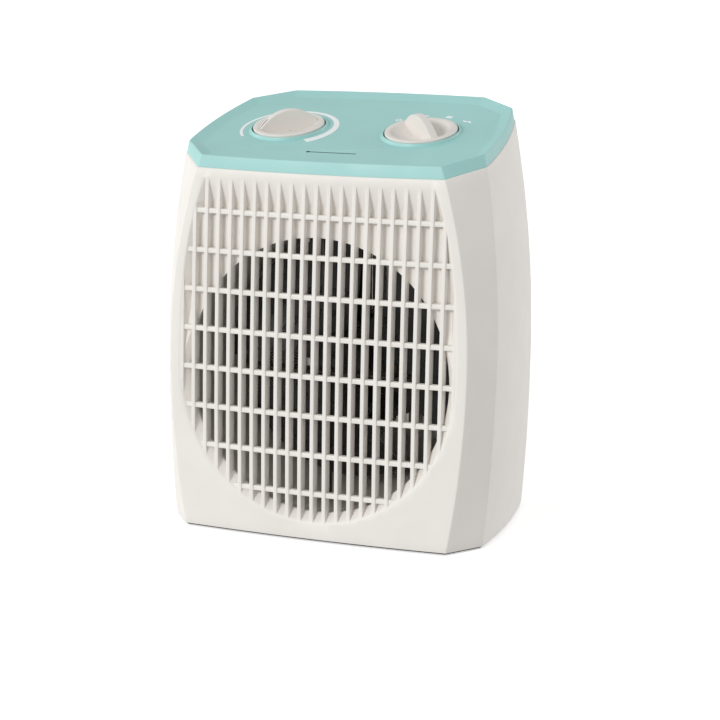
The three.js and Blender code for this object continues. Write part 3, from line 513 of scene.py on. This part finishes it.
INTAKE = {"columns": 18, "pitch": 6.4, "width": 2.8, "rows": ((40, 103), (109, 172))}
INTAKE_PAD = {"half": 61.0, "front": 59.6, "back": BACK_DEPTH + 0.3, "bottom": 34.0, "top": 178.0}
REAR_POSTS = ((-92.6, 22), (92.6, 22), (-88.6, 212), (88.6, 212))
SCREW_SEAT, SEAT_RADIUS, SCREW_WELL_RADIUS, SCREW_BORE_RADIUS = 53.0, 6.0, 3.8, 1.8
GLAND_BORE_RADIUS = 5.2


def slot_tool(x, low, high):
    """Upright slot with round ends, through the back."""
    radius = INTAKE["width"] / 2
    shape = [*arc((x, high - radius), radius, 0, 180, 8), *arc((x, low + radius), radius, 180, 360, 8)]
    return loft("slot", [[(x, y, z) for x, z in shape] for y in (55, 80)])


def rear_shell():
    """Back of the casing, with its intake slots, screw seats and the gland's hole."""
    shell = combine(casing_tube(), box("tool", (-150, SEAM_DEPTH + SEAM, -20), (150, 100, 300)), "INTERSECT")
    pad = INTAKE_PAD
    block = box("pad", (-pad["half"], pad["front"], pad["bottom"]), (pad["half"], pad["back"], pad["top"]))
    combine(shell, block, "UNION")
    middle = (INTAKE["columns"] - 1) / 2
    slots = [slot_tool((column - middle) * INTAKE["pitch"], low, high)
             for column in range(INTAKE["columns"]) for low, high in INTAKE["rows"]]
    combine(shell, joined("slots", slots))
    solid = loft("tool", [ring(0.4, lambda y: slope_height(y, COVER_BOTTOM) * s) for s in
                          np.linspace(0.02, 0.98, 12)])

    def at_posts(name, radius, start, end, segments):
        return joined(name, [cylinder(name, radius, start, end, along_duct(z, x), segments)
                             for x, z in REAR_POSTS])

    seats = at_posts("seats", SEAT_RADIUS, SEAM_DEPTH + SEAM + 0.1, 80, 32)
    combine(shell, combine(seats, solid, "INTERSECT"), "UNION")
    combine(shell, at_posts("wells", SCREW_WELL_RADIUS, SCREW_SEAT, 90, 32))
    combine(shell, at_posts("bores", SCREW_BORE_RADIUS, 40, 60, 24))
    low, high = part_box("cord_gland")
    centre = (low + high) / 2 / MM
    combine(shell, cylinder("gland", GLAND_BORE_RADIUS, 60, 80, along_duct(centre.z - LIFT, centre.x), 48))
    shell.name = "rear_casing"
    return smooth(shell)


# ------------------------------------------------------------------ top cover

WELL_RADIUS, WELL_FLOOR, CUP_RADIUS, SPINDLE_BORE_RADIUS = 23.4, -4.6, 25.6, 4.9
COLLAR, CREST_RADIUS, COLLAR_RADIUS = 1.9, 23.9, 25.4
SLIT_HALF, SLIT_WIDTH, WINDOW_RADIUS = 16.2, 1.5, 1.25


def top_cover():
    """Sloping cover with a bevelled rim, a collared well under each knob and the pilot slit."""
    inner = COVER_INSET + SKIRT_THICKNESS
    stages = [
        (inner, -COVER_THICKNESS), (inner, COVER_BOTTOM + 0.2), (inner - 0.2, COVER_BOTTOM),
        (COVER_INSET + 0.2, COVER_BOTTOM), (COVER_INSET, COVER_BOTTOM + 0.2),
        (COVER_INSET, RIM_DROP - 0.45), (COVER_INSET + 0.08, RIM_DROP - 0.2),
        (COVER_INSET + 0.25, RIM_DROP - 0.05), (COVER_INSET + 0.5, RIM_DROP),
        (COVER_INSET + 0.8, RIM_DROP - 0.12),
        (COVER_INSET + RIM_WIDTH - 0.3, 0.08), (COVER_INSET + RIM_WIDTH, 0.02),
        (COVER_INSET + RIM_WIDTH + 0.3, 0.0),
    ]
    cover = loft("top_panel", [ring(inset, parallel(above)) for inset, above in stages])
    crest = arc((CREST_RADIUS, COLLAR - 0.3), 0.3, 35, 90, 4)
    skirt = [(COLLAR_RADIUS + 0.9 * s * s - 0.6, 0.02 + 0.5 * (1 - s) ** 2) for s in np.linspace(1, 0, 6)]
    cup = [(0, WELL_FLOOR - COVER_THICKNESS), (CUP_RADIUS, WELL_FLOOR - COVER_THICKNESS), (CUP_RADIUS, -1),
           (COLLAR_RADIUS + 0.3, -1), *skirt, *crest, (0, COLLAR)]
    combine(cover, joined("cups", [turned("cup", cup, on_panel(name), 144) for name in KNOB_CENTRE]), "UNION")
    well = [(0, WELL_FLOOR), (WELL_RADIUS, WELL_FLOOR), (WELL_RADIUS, COLLAR - 0.3),
            (WELL_RADIUS + 0.3, COLLAR + 0.1), (WELL_RADIUS + 0.3, 4), (0, 4)]
    combine(cover, joined("wells", [turned("well", well, on_panel(name), 144) for name in KNOB_CENTRE]))
    combine(cover, joined("bores", [cylinder("bore", SPINDLE_BORE_RADIUS, -12, 0, on_panel(name), 48)
                                    for name in KNOB_CENTRE]))
    combine(cover, slit_prism("slit", 0.0, -6, 6))
    combine(cover, pilot_window("window", 0.0, -6, 6))
    return smooth(cover, 24)


def slit_along():
    """Where the pilot slit lies along the panel."""
    low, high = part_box("pilot_lens")
    return (PANEL.inverted() @ ((low + high) / 2)).y / MM - 0.1


def slit_prism(name, inset, bottom, top):
    """Bar with round ends in the shape of the pilot slit."""
    along, radius = slit_along(), SLIT_WIDTH / 2
    shape = [*arc((SLIT_HALF - radius, along), radius - inset, -90, 90, 8),
             *arc((radius - SLIT_HALF, along), radius - inset, 90, 270, 8)]
    return panel_prism(name, shape, bottom, top)


def pilot_window(name, inset, bottom, top):
    """Round window at the slit's left end, over the pilot lamp."""
    shape = arc((1.0 - SLIT_HALF, slit_along()), WINDOW_RADIUS - inset, 0, 360, 32)[:-1]
    return panel_prism(name, shape, bottom, top)


def pilot_lens():
    """Smoked strip in the slit, with a flange under the cover; its dark top sits almost flush, partly the
    lens's own tint and partly painted shade of the slit.
    """
    low, high = -COVER_THICKNESS - 1.6, -COVER_THICKNESS - 0.3
    half, reach, along = SLIT_HALF + 1.7, 2.5, slit_along()
    plan = [(-half, along - reach), (half, along - reach), (half, along + reach), (-half, along + reach)]
    flange = panel_prism("flange", plan, low, high)
    return combine(slit_prism("pilot_strip", 0.05, low + 0.2, -0.1), flange, "UNION")


# ------------------------------------------------------------------ knobs

KNOB_RADIUS, RIM_TOP, BOWL_FLOOR = 22.5, 2.8, -2.0
RIM_BAND = 3.9                     # width of the rim's flat top
RIM_STEP = 1.3                     # drop from the rim's flat top to the bowl
BOWL_SLOPE = 12.0                  # how far in from its edge the bowl goes on deepening
GRIP_TOP, GRIP_REACH, GRIP_END = 12.0, 18.5, RIM_TOP - 0.6
RIDGE_HALF, RIDGE_FOOT_HALF, RIDGE_SOFT = 2.4, 2.9, 0.3
SPINDLE_SOCKET_RADIUS, SOCKET_TOP = 2.8, -0.9
POINTER = {"thermostat": 214.0, "selector": 135.0}
INLAY_LENGTH, INLAY_WIDTH, INLAY_MIDDLE = 5.5, 1.1, 15.4


def grip_height(t):
    """Height of the grip's ridge; t runs from -1 to 1 along it."""
    return GRIP_END + (GRIP_TOP - GRIP_END) * max(0.0, 1 - t * t) ** 0.9


def knob(name):
    """Dished disc with an arched grip across it."""
    bottom = WELL_FLOOR + 0.7
    soft = 0.8
    round_rim = arc((KNOB_RADIUS - soft, RIM_TOP - soft), soft, 0, 80, 7)
    inner_rim = KNOB_RADIUS - RIM_BAND
    bowl_edge, bowl_top = inner_rim - 1.0, RIM_TOP - RIM_STEP
    bowl = [(bowl_edge - s * BOWL_SLOPE, BOWL_FLOOR + (bowl_top - BOWL_FLOOR) * (1 - s) ** 2)
            for s in np.linspace(0, 1, 20)]
    profile = [(0, bottom), (KNOB_RADIUS - 0.6, bottom), (KNOB_RADIUS, bottom + 0.6), *round_rim,
               (inner_rim + 0.5, RIM_TOP), (inner_rim + 0.1, RIM_TOP - 0.15), *bowl, (0, BOWL_FLOOR)]
    place = on_panel(name, POINTER[name])
    disc = turned(name + "_dial", profile, place, 144)
    foot = BOWL_FLOOR - 0.4
    rings = []
    for t in np.sin(np.linspace(-math.pi / 2, math.pi / 2, 49)):
        top = grip_height(t)
        rise = top - foot - RIDGE_SOFT
        side = [(RIDGE_HALF + (RIDGE_FOOT_HALF - RIDGE_HALF) * (1 - s) ** 3, foot + rise * s)
                for s in np.linspace(0, 1, 10)]
        crown = arc((RIDGE_HALF - RIDGE_SOFT, top - RIDGE_SOFT), RIDGE_SOFT, 10, 90, 4)
        right = [*side, *crown]
        shape = [*right, *[(-w, z) for w, z in reversed(right)]]
        rings.append([place @ (Vector((GRIP_REACH * t, w, z)) * MM) for w, z in shape])
    combine(disc, loft("grip", rings, metres=True), "UNION")
    combine(disc, cylinder("bore", SPINDLE_SOCKET_RADIUS, bottom - 1, SOCKET_TOP, place, 48))
    return smooth(disc, 28)


def pointer_inlay(name):
    """Dark pointer line let into the grip's end."""
    place = on_panel(name, POINTER[name])
    rings = []
    for s in np.linspace(-0.5, 0.5, 9):
        u = INLAY_MIDDLE + INLAY_LENGTH * s
        top = grip_height(u / GRIP_REACH)
        half = INLAY_WIDTH / 2 * math.sqrt(max(0.08, 1 - (2 * s) ** 4))
        rings.append([place @ (Vector((u, w, top + z)) * MM)
                      for w, z in ((half, -0.4), (half, 0.04), (-half, 0.04), (-half, -0.4))])
    return loft(name + "_pointer", rings, metres=True)


# ------------------------------------------------------------------ printed marks

PRINT_HEIGHT = 0.06
WARM_RADIUS, WARM_START, WARM_END = 31.0, 218.0, -48.0
WARM_WIDTH, WARM_WIDENING = 1.8, 4.2
OFF_MARK = {"angle": 135.0, "radius": 31.8, "size": 2.1, "width": 0.9}
SETTING_MARK_WIDTH = 1.5
SETTING_MARKS = ((103, 33.0, 3.4), (76, 31.5, 4.4), (76, 33.4, 4.4), (51.6, 32.2, 3.9), (46.2, 33.6, 3.9))


def flat_mark(name, knob_name, inner, outer):
    """Thin raised print between two lists of points on the panel, in a knob's own frame."""
    place = on_panel(knob_name)
    rings = []
    for (ax, ay), (bx, by) in zip(inner, outer):
        rings.append([place @ (Vector(p) * MM) for p in (
            (ax, ay, -0.1), (bx, by, -0.1), (bx, by, PRINT_HEIGHT), (ax, ay, PRINT_HEIGHT))])
    return loft(name, rings, metres=True)


def warmth_arc():
    """Arc round the thermostat knob that widens towards its warm end."""
    inner, outer = [], []
    for s in np.linspace(0, 1, 90):
        angle = math.radians(WARM_START + (WARM_END - WARM_START) * s)
        width = WARM_WIDTH + WARM_WIDENING * s ** 3
        for radius, side in ((WARM_RADIUS + s - width, inner), (WARM_RADIUS + s, outer)):
            side.append((radius * math.cos(angle), radius * math.sin(angle)))
    return flat_mark("warmth_arc", "thermostat", inner, outer)


def dash(name, angle, radius, length, width):
    """Short print on the panel, square to the knob's radius."""
    a = math.radians(angle)
    out, across = Vector((math.cos(a), math.sin(a))), Vector((-math.sin(a), math.cos(a)))
    inner, outer = [], []
    for s in np.linspace(-0.5, 0.5, 5):
        half = width / 2 * (0.7 if abs(s) == 0.5 else 1.0)
        centre = out * radius + across * length * s
        inner.append(tuple(centre - out * half))
        outer.append(tuple(centre + out * half))
    return flat_mark(name, "selector", inner, outer)


def ring_mark(name, angle, radius, size, width):
    """Small ring printed on the panel: the off mark."""
    a = math.radians(angle)
    cx, cy = radius * math.cos(a), radius * math.sin(a)
    turns = np.linspace(0, 2 * math.pi, 33)[:-1]
    place = on_panel("selector")
    rings = []
    for r, z in ((size - width, -0.1), (size, -0.1), (size, PRINT_HEIGHT), (size - width, PRINT_HEIGHT)):
        rings.append([place @ (Vector((cx + r * math.cos(t), cy + r * math.sin(t), z)) * MM) for t in turns])
    return loft(name, rings, capped=False, metres=True)


# ------------------------------------------------------------------ duct, element, fan

DUCT_INNER, DUCT_OUTER, FLANGE_FRONT = 84.6, 86.6, -52.0
WIRE_RADIUS, TURN_PITCH, POINTS_PER_TURN = 0.32, 1.9, 10
FAN = {"tip": 77.0, "hub": 17.0, "front": -22.0, "back": 6.0, "blades": 3, "start": 27.0, "sweep": 99.0,
       "thickness": 1.6, "middle": -7.0, "edge_curve": 8.0, "rise": 17.0, "rise_loss": 5.0, "camber": 3.0}


def air_duct():
    """Flanged ring round the fan, cut off where it meets the backing."""
    low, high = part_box("air_duct")
    front, back = FLANGE_FRONT, high.y / MM
    rim = (high.x - low.x) / 2 / MM
    profile = [(DUCT_INNER, -75), (DUCT_OUTER, -75), (DUCT_OUTER, front), (rim - 0.3, front),
               (rim, front + 0.3), (rim, front + 2), (DUCT_OUTER, front + 2),
               (DUCT_OUTER, back - 2), (rim, back - 2), (rim, back - 0.3), (rim - 0.3, back),
               (DUCT_INNER + 0.4, back), (DUCT_INNER, back - 0.4)]
    duct = turned("duct", profile, along_duct(), 160)
    ahead = front_slab(lambda h: -40.0, lambda h: BACKING_DEPTH + BACKING_THICKNESS + SEAM, 100,
                       np.linspace(0, 225, 30))
    return smooth(combine(duct, ahead))


def coil(name, node):
    """Spiral of resistance wire bent into a ring across the duct."""
    low, high = (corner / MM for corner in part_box(node))
    spiral = (high.y - low.y) / 2 * 0.94
    radius = (high.x - low.x) / 2 - (high.y - low.y) / 2
    depth = (low.y + high.y) / 2
    count = int(2 * math.pi * radius / TURN_PITCH) * POINTS_PER_TURN
    curve = bpy.data.curves.new(name, "CURVE")
    curve.dimensions = "3D"
    curve.bevel_depth = WIRE_RADIUS * MM
    curve.bevel_resolution = 1
    spline = curve.splines.new("POLY")
    spline.points.add(count - 1)
    place = along_duct()
    for i in range(count):
        round_ring, round_coil = 2 * math.pi * i / count, 2 * math.pi * i / POINTS_PER_TURN
        r = radius + spiral * math.cos(round_coil)
        p = place @ (Vector((r * math.cos(round_ring), r * math.sin(round_ring),
                             depth + spiral * math.sin(round_coil))) * MM)
        spline.points[i].co = (*p, 1)
    spline.use_cyclic_u = True
    obj = bpy.data.objects.new(name, curve)
    bpy.context.scene.collection.objects.link(obj)
    return obj


def fan_blade(start):
    """Twisted, swept blade with a thin rounded edge."""
    rings = []
    for r in np.linspace(FAN["hub"] - 1.5, FAN["tip"], 22):
        share = (r - FAN["hub"]) / (FAN["tip"] - FAN["hub"])
        curve = FAN["edge_curve"] * math.sin(math.pi * share)
        sweep = math.radians(FAN["sweep"] - curve)
        lead = math.radians(start + curve)
        rise = FAN["rise"] - FAN["rise_loss"] * share
        rows = ([], [])
        for t in np.linspace(0, 1, 20):
            angle = lead + sweep * t
            thick = FAN["thickness"] * (0.35 + 0.65 * math.sin(math.pi * min(max(t, 0.02), 0.98)) ** 0.5)
            bend = FAN["camber"] * math.sin(math.pi * t)
            middle = FAN["middle"] - rise / 2 + rise * t + bend + FAN["thickness"] / 2
            for side, row in ((-0.5, rows[0]), (0.5, rows[1])):
                row.append((r * math.sin(angle), middle + side * thick, AXIS_HEIGHT + r * math.cos(angle)))
        rings.append([*rows[0], *reversed(rows[1])])
    return loft("blade", rings)


def fan_wheel():
    """Hollow hub with three blades."""
    hub, front, back = FAN["hub"], FAN["front"], FAN["back"]
    nose = arc((hub - 5, front + 5), 5, -90, 0, 8)
    profile = [(2.8, front), *nose, (hub, back), (hub - 1.8, back), (hub - 1.8, front + 7), (6, front + 5),
               (6, back), (2.8, back)]
    wheel = turned("fan_wheel", profile, along_duct(), 96)
    for k in range(FAN["blades"]):
        blade = fan_blade(FAN["start"] + k * 360 / FAN["blades"])
        hollow = cylinder("hollow", hub - 0.8, front, back + 20, along_duct(), 64)
        combine(wheel, combine(blade, hollow), "UNION")
    return smooth(wheel, 40)


# ------------------------------------------------------------------ materials


def material(name, colour, roughness, metallic=0.0, grain=900.0, grain_depth=0.02, mottle=0.05, edge_wear_and_highlight=0.0):
    """Procedural surface: slight colour and gloss variation, fine moulded grain, and lighter edges that are
    partly wear and partly painted highlight.
    """
    mat = bpy.data.materials.new(name)
    mat.use_nodes = True
    nodes, links = mat.node_tree.nodes, mat.node_tree.links
    shader = nodes["Principled BSDF"]
    shader.inputs["Metallic"].default_value = metallic
    coords = nodes.new("ShaderNodeTexCoord")

    def noise(scale, detail):
        node = nodes.new("ShaderNodeTexNoise")
        node.inputs["Scale"].default_value = scale
        node.inputs["Detail"].default_value = detail
        links.new(coords.outputs["Object"], node.inputs["Vector"])
        return node.outputs["Fac"]

    def ramp(source, low, high):
        node = nodes.new("ShaderNodeMapRange")
        node.inputs["From Min"].default_value = 0.3
        node.inputs["From Max"].default_value = 0.7
        node.inputs["To Min"].default_value = low
        node.inputs["To Max"].default_value = high
        links.new(source, node.inputs["Value"])
        return node.outputs["Result"]

    def mix(factor, a, b):
        node = nodes.new("ShaderNodeMix")
        node.data_type = "RGBA"
        links.new(factor, node.inputs["Factor"])
        for value, socket in ((a, node.inputs["A"]), (b, node.inputs["B"])):
            if isinstance(value, tuple):
                socket.default_value = (*value, 1)
            else:
                links.new(value, socket)
        return node.outputs["Result"]

    darker = tuple(c * (1 - mottle) for c in colour)
    base = mix(ramp(noise(28.0, 4.0), 0.0, 1.0), darker, colour)
    # Convex edges are lightened: partly wear, partly a painted highlight where edges would catch the light.
    if edge_wear_and_highlight:
        geometry = nodes.new("ShaderNodeNewGeometry")
        edge = nodes.new("ShaderNodeMapRange")
        edge.inputs["From Min"].default_value = 0.53
        edge.inputs["From Max"].default_value = 0.62
        edge.inputs["To Max"].default_value = edge_wear_and_highlight
        links.new(geometry.outputs["Pointiness"], edge.inputs["Value"])
        lighter = tuple(min(1.0, c * 1.12 + 0.03) for c in colour)
        base = mix(edge.outputs["Result"], base, lighter)
    links.new(base, shader.inputs["Base Color"])
    links.new(ramp(noise(60.0, 3.0), roughness - 0.05, roughness + 0.06), shader.inputs["Roughness"])
    bump = nodes.new("ShaderNodeBump")
    bump.inputs["Strength"].default_value = 0.35
    bump.inputs["Distance"].default_value = grain_depth * MM
    links.new(noise(grain, 3.0), bump.inputs["Height"])
    links.new(bump.outputs["Normal"], shader.inputs["Normal"])
    return mat


LOOKS = {
    "casing": material("cream_plastic", (0.865, 0.833, 0.786), 0.5, grain=1400, grain_depth=0.05, edge_wear_and_highlight=0.5),
    "cover": material("teal_plastic", (0.375, 0.675, 0.65), 0.45, grain=1400, grain_depth=0.05, edge_wear_and_highlight=0.4),
    "knob": material("knob_plastic", (0.80, 0.765, 0.72), 0.4, grain=1600, grain_depth=0.03, edge_wear_and_highlight=0.3),
    "print": material("white_print", (0.95, 0.96, 0.97), 0.5, grain=3000, grain_depth=0.01),
    "ink": material("pointer_ink", (0.012, 0.012, 0.012), 0.7, grain=3000, grain_depth=0.01),
    "duct": material("duct_plastic", (0.70, 0.67, 0.61), 0.55, grain=900, grain_depth=0.05, mottle=0.1),
    "fan": material("fan_plastic", (0.021, 0.021, 0.022), 0.42, grain=1200, grain_depth=0.04, mottle=0.2),
    "base": material("base_plastic", (0.035, 0.034, 0.033), 0.6, grain=900, grain_depth=0.08, mottle=0.2),
    "rubber": material("foot_rubber", (0.02, 0.02, 0.02), 0.8, grain=700, grain_depth=0.08, mottle=0.3),
    # The lens colour is partly the pilot lens's own smoked tint, partly painted shade of the slit.
    "lens": material("pilot_lens", (0.05, 0.125, 0.12), 0.5, grain=2000, grain_depth=0.005),
    "mica": material("mica_board", (0.05, 0.04, 0.032), 0.6, grain=500, grain_depth=0.08, mottle=0.4),
    "wire": material("resistance_wire", (0.05, 0.046, 0.043), 0.5, metallic=0.5, grain=2500, mottle=0.4),
    "winding": material("taped_winding", (0.045, 0.03, 0.022), 0.5, grain=1500, mottle=0.4),
    "steel": material("bright_steel", (0.5, 0.5, 0.5), 0.3, metallic=1.0, grain=1800, mottle=0.15),
    "zinc": material("zinc_plate", (0.55, 0.55, 0.53), 0.38, metallic=1.0, grain=700, mottle=0.25),
    "coated": material("black_coated_steel", (0.03, 0.03, 0.03), 0.5, grain=800, mottle=0.2),
    "phenolic": material("phenolic", (0.05, 0.03, 0.02), 0.5, grain=900, mottle=0.3),
    "terminal": material("terminal_plastic", (0.7, 0.68, 0.62), 0.5, grain=900, mottle=0.1),
}


def dress(obj, look):
    """Gives an object one of the looks."""
    obj.data.materials.clear()
    obj.data.materials.append(LOOKS[look])


# ------------------------------------------------------------------ pieces on their bodies


def stand_for(piece, look, slot, body, *nodes):
    """Gives a piece its look and body, and lets it take the place of CAD nodes if any are named; the slot is
    not used.
    """
    dress(piece, look)
    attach(piece, body)
    if nodes:
        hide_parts(*nodes)


stand_for(front_shell(), "casing", "casing_plastic", "housing", "front_shell")
stand_for(rear_shell(), "casing", "casing_plastic", "housing", "rear_shell")
stand_for(top_cover(), "cover", "cover_plastic", "housing", "top_cover")
for control in KNOB_CENTRE:
    stand_for(knob(control), "knob", "knob_plastic", control + "_control", control + "_knob")
for control in KNOB_CENTRE:
    stand_for(pointer_inlay(control), "ink", "dark_plastic", control + "_control")

# The nearly flush dark strip is partly the lens's own tint, partly painted shade of the slit.
stand_for(pilot_lens(), "lens", "lens_plastic", "housing", "pilot_lens")
stand_for(pilot_window("pilot_end", 0.05, -1.8, -0.06), "ink", "lens_plastic", "housing")
stand_for(warmth_arc(), "print", "casing_plastic", "housing")
stand_for(ring_mark("off_mark", **OFF_MARK), "print", "casing_plastic", "housing")
for number, mark in enumerate(SETTING_MARKS, 1):
    stand_for(dash(f"setting_mark_{number}", *mark, SETTING_MARK_WIDTH), "print", "casing_plastic", "housing")

stand_for(air_duct(), "duct", "duct_plastic", "housing", "air_duct")
for size in ("inner", "middle", "outer"):
    node = "heating_coil_" + size
    stand_for(coil(size + "_coil", node), "wire", "heating_wire", "housing", node)
stand_for(fan_wheel(), "fan", "dark_plastic", "fan", "fan_impeller")

NODE_LOOK = {
    "base_plate": "base", "cord_gland": "rubber", "pilot_lamp": "lens",
    "mica_card_upright": "mica", "mica_card_level": "mica", "fan_cap": "fan", "motor_coil": "winding",
    "motor_rotor": "coated", "motor_stator": "coated", "motor_spider": "coated",
    "motor_rear_bracket": "coated", "thermostat_spindle": "steel", "selector_spindle": "steel",
    "thermostat_body": "phenolic", "selector_body": "phenolic", "thermal_cutout": "phenolic",
    "terminal_block": "terminal",
}
PREFIX_LOOK = {"foot_": "rubber", "spider_screw": "coated", "motor_screw": "coated", "duct_screw": "coated"}
for name, node in frame["nodes"].items():
    shared = [look for prefix, look in PREFIX_LOOK.items() if name.startswith(prefix)]
    if not node.hide_render:
        dress(node, shared[0] if shared else NODE_LOOK.get(name, "zinc"))

# ------------------------------------------------------------------ stage, light and camera

FLOOR_GLOW = 0.42                 # the floor is a light table, so that it stays white round the heater
FLOOR_HALF, FLOOR_THICKNESS = 14.0, 0.01        # metres
SKY_STRENGTH = 0.53
SENSOR_WIDTH, FOCAL_LENGTH = 36.0, 99.853
AIM = (3.032, 6.8, 96.42)         # what the camera looks at
CAMERA_AZIMUTH, CAMERA_ELEVATION, CAMERA_DISTANCE = 20.8208, 13.2335, 1272.877


def floor():
    """Pale plain floor, which the heater's own surfaces don't pick up light from."""
    obj = box("floor", (-FLOOR_HALF, -FLOOR_HALF, -FLOOR_THICKNESS), (FLOOR_HALF, FLOOR_HALF, 0), metres=True)
    white = material("pale_floor", (0.93, 0.93, 0.93), 0.7, grain=60, mottle=0.01)
    shader = white.node_tree.nodes["Principled BSDF"]
    shader.inputs["Emission Color"].default_value = (1, 1, 1, 1)
    shader.inputs["Emission Strength"].default_value = FLOOR_GLOW
    obj.data.materials.append(white)
    obj.visible_diffuse = False


def soft_sun(name, towards, strength, softness):
    """Even light from far away, from the direction given, as broad as a studio softbox."""
    data = bpy.data.lights.new(name, "SUN")
    data.energy, data.angle = strength * math.pi, math.radians(softness)
    obj = bpy.data.objects.new(name, data)
    obj.rotation_euler = Vector(towards).to_track_quat("Z", "Y").to_euler()
    bpy.context.scene.collection.objects.link(obj)


def camera():
    """Three-quarter view from the front right and a little above."""
    data = bpy.data.cameras.new("camera")
    data.sensor_width = SENSOR_WIDTH
    data.lens = FOCAL_LENGTH
    obj = bpy.data.objects.new("camera", data)
    azimuth, elevation = math.radians(CAMERA_AZIMUTH), math.radians(CAMERA_ELEVATION)
    back = Vector((math.sin(azimuth) * math.cos(elevation), -math.cos(azimuth) * math.cos(elevation),
                   math.sin(elevation)))
    obj.location = Vector(world(AIM)[0]) + back * CAMERA_DISTANCE * MM
    obj.rotation_euler = (-back).to_track_quat("-Z", "Y").to_euler()
    bpy.context.scene.collection.objects.link(obj)
    bpy.context.scene.camera = obj


floor()
soft_sun("key", (-0.32, -0.85, 0.38), 0.43, 16)
soft_sun("right_fill", (0.64, 0.70, 0.32), 0.27, 40)
soft_sun("left_fill", (-0.95, -0.10, 0.12), 0.33, 40)
sky = bpy.data.worlds.new("studio")
sky.use_nodes = True
sky.node_tree.nodes["Background"].inputs["Color"].default_value = (1.0, 1.0, 1.0, 1)
sky.node_tree.nodes["Background"].inputs["Strength"].default_value = SKY_STRENGTH
bpy.context.scene.world = sky
bpy.context.scene.view_settings.view_transform = "Standard"
camera()
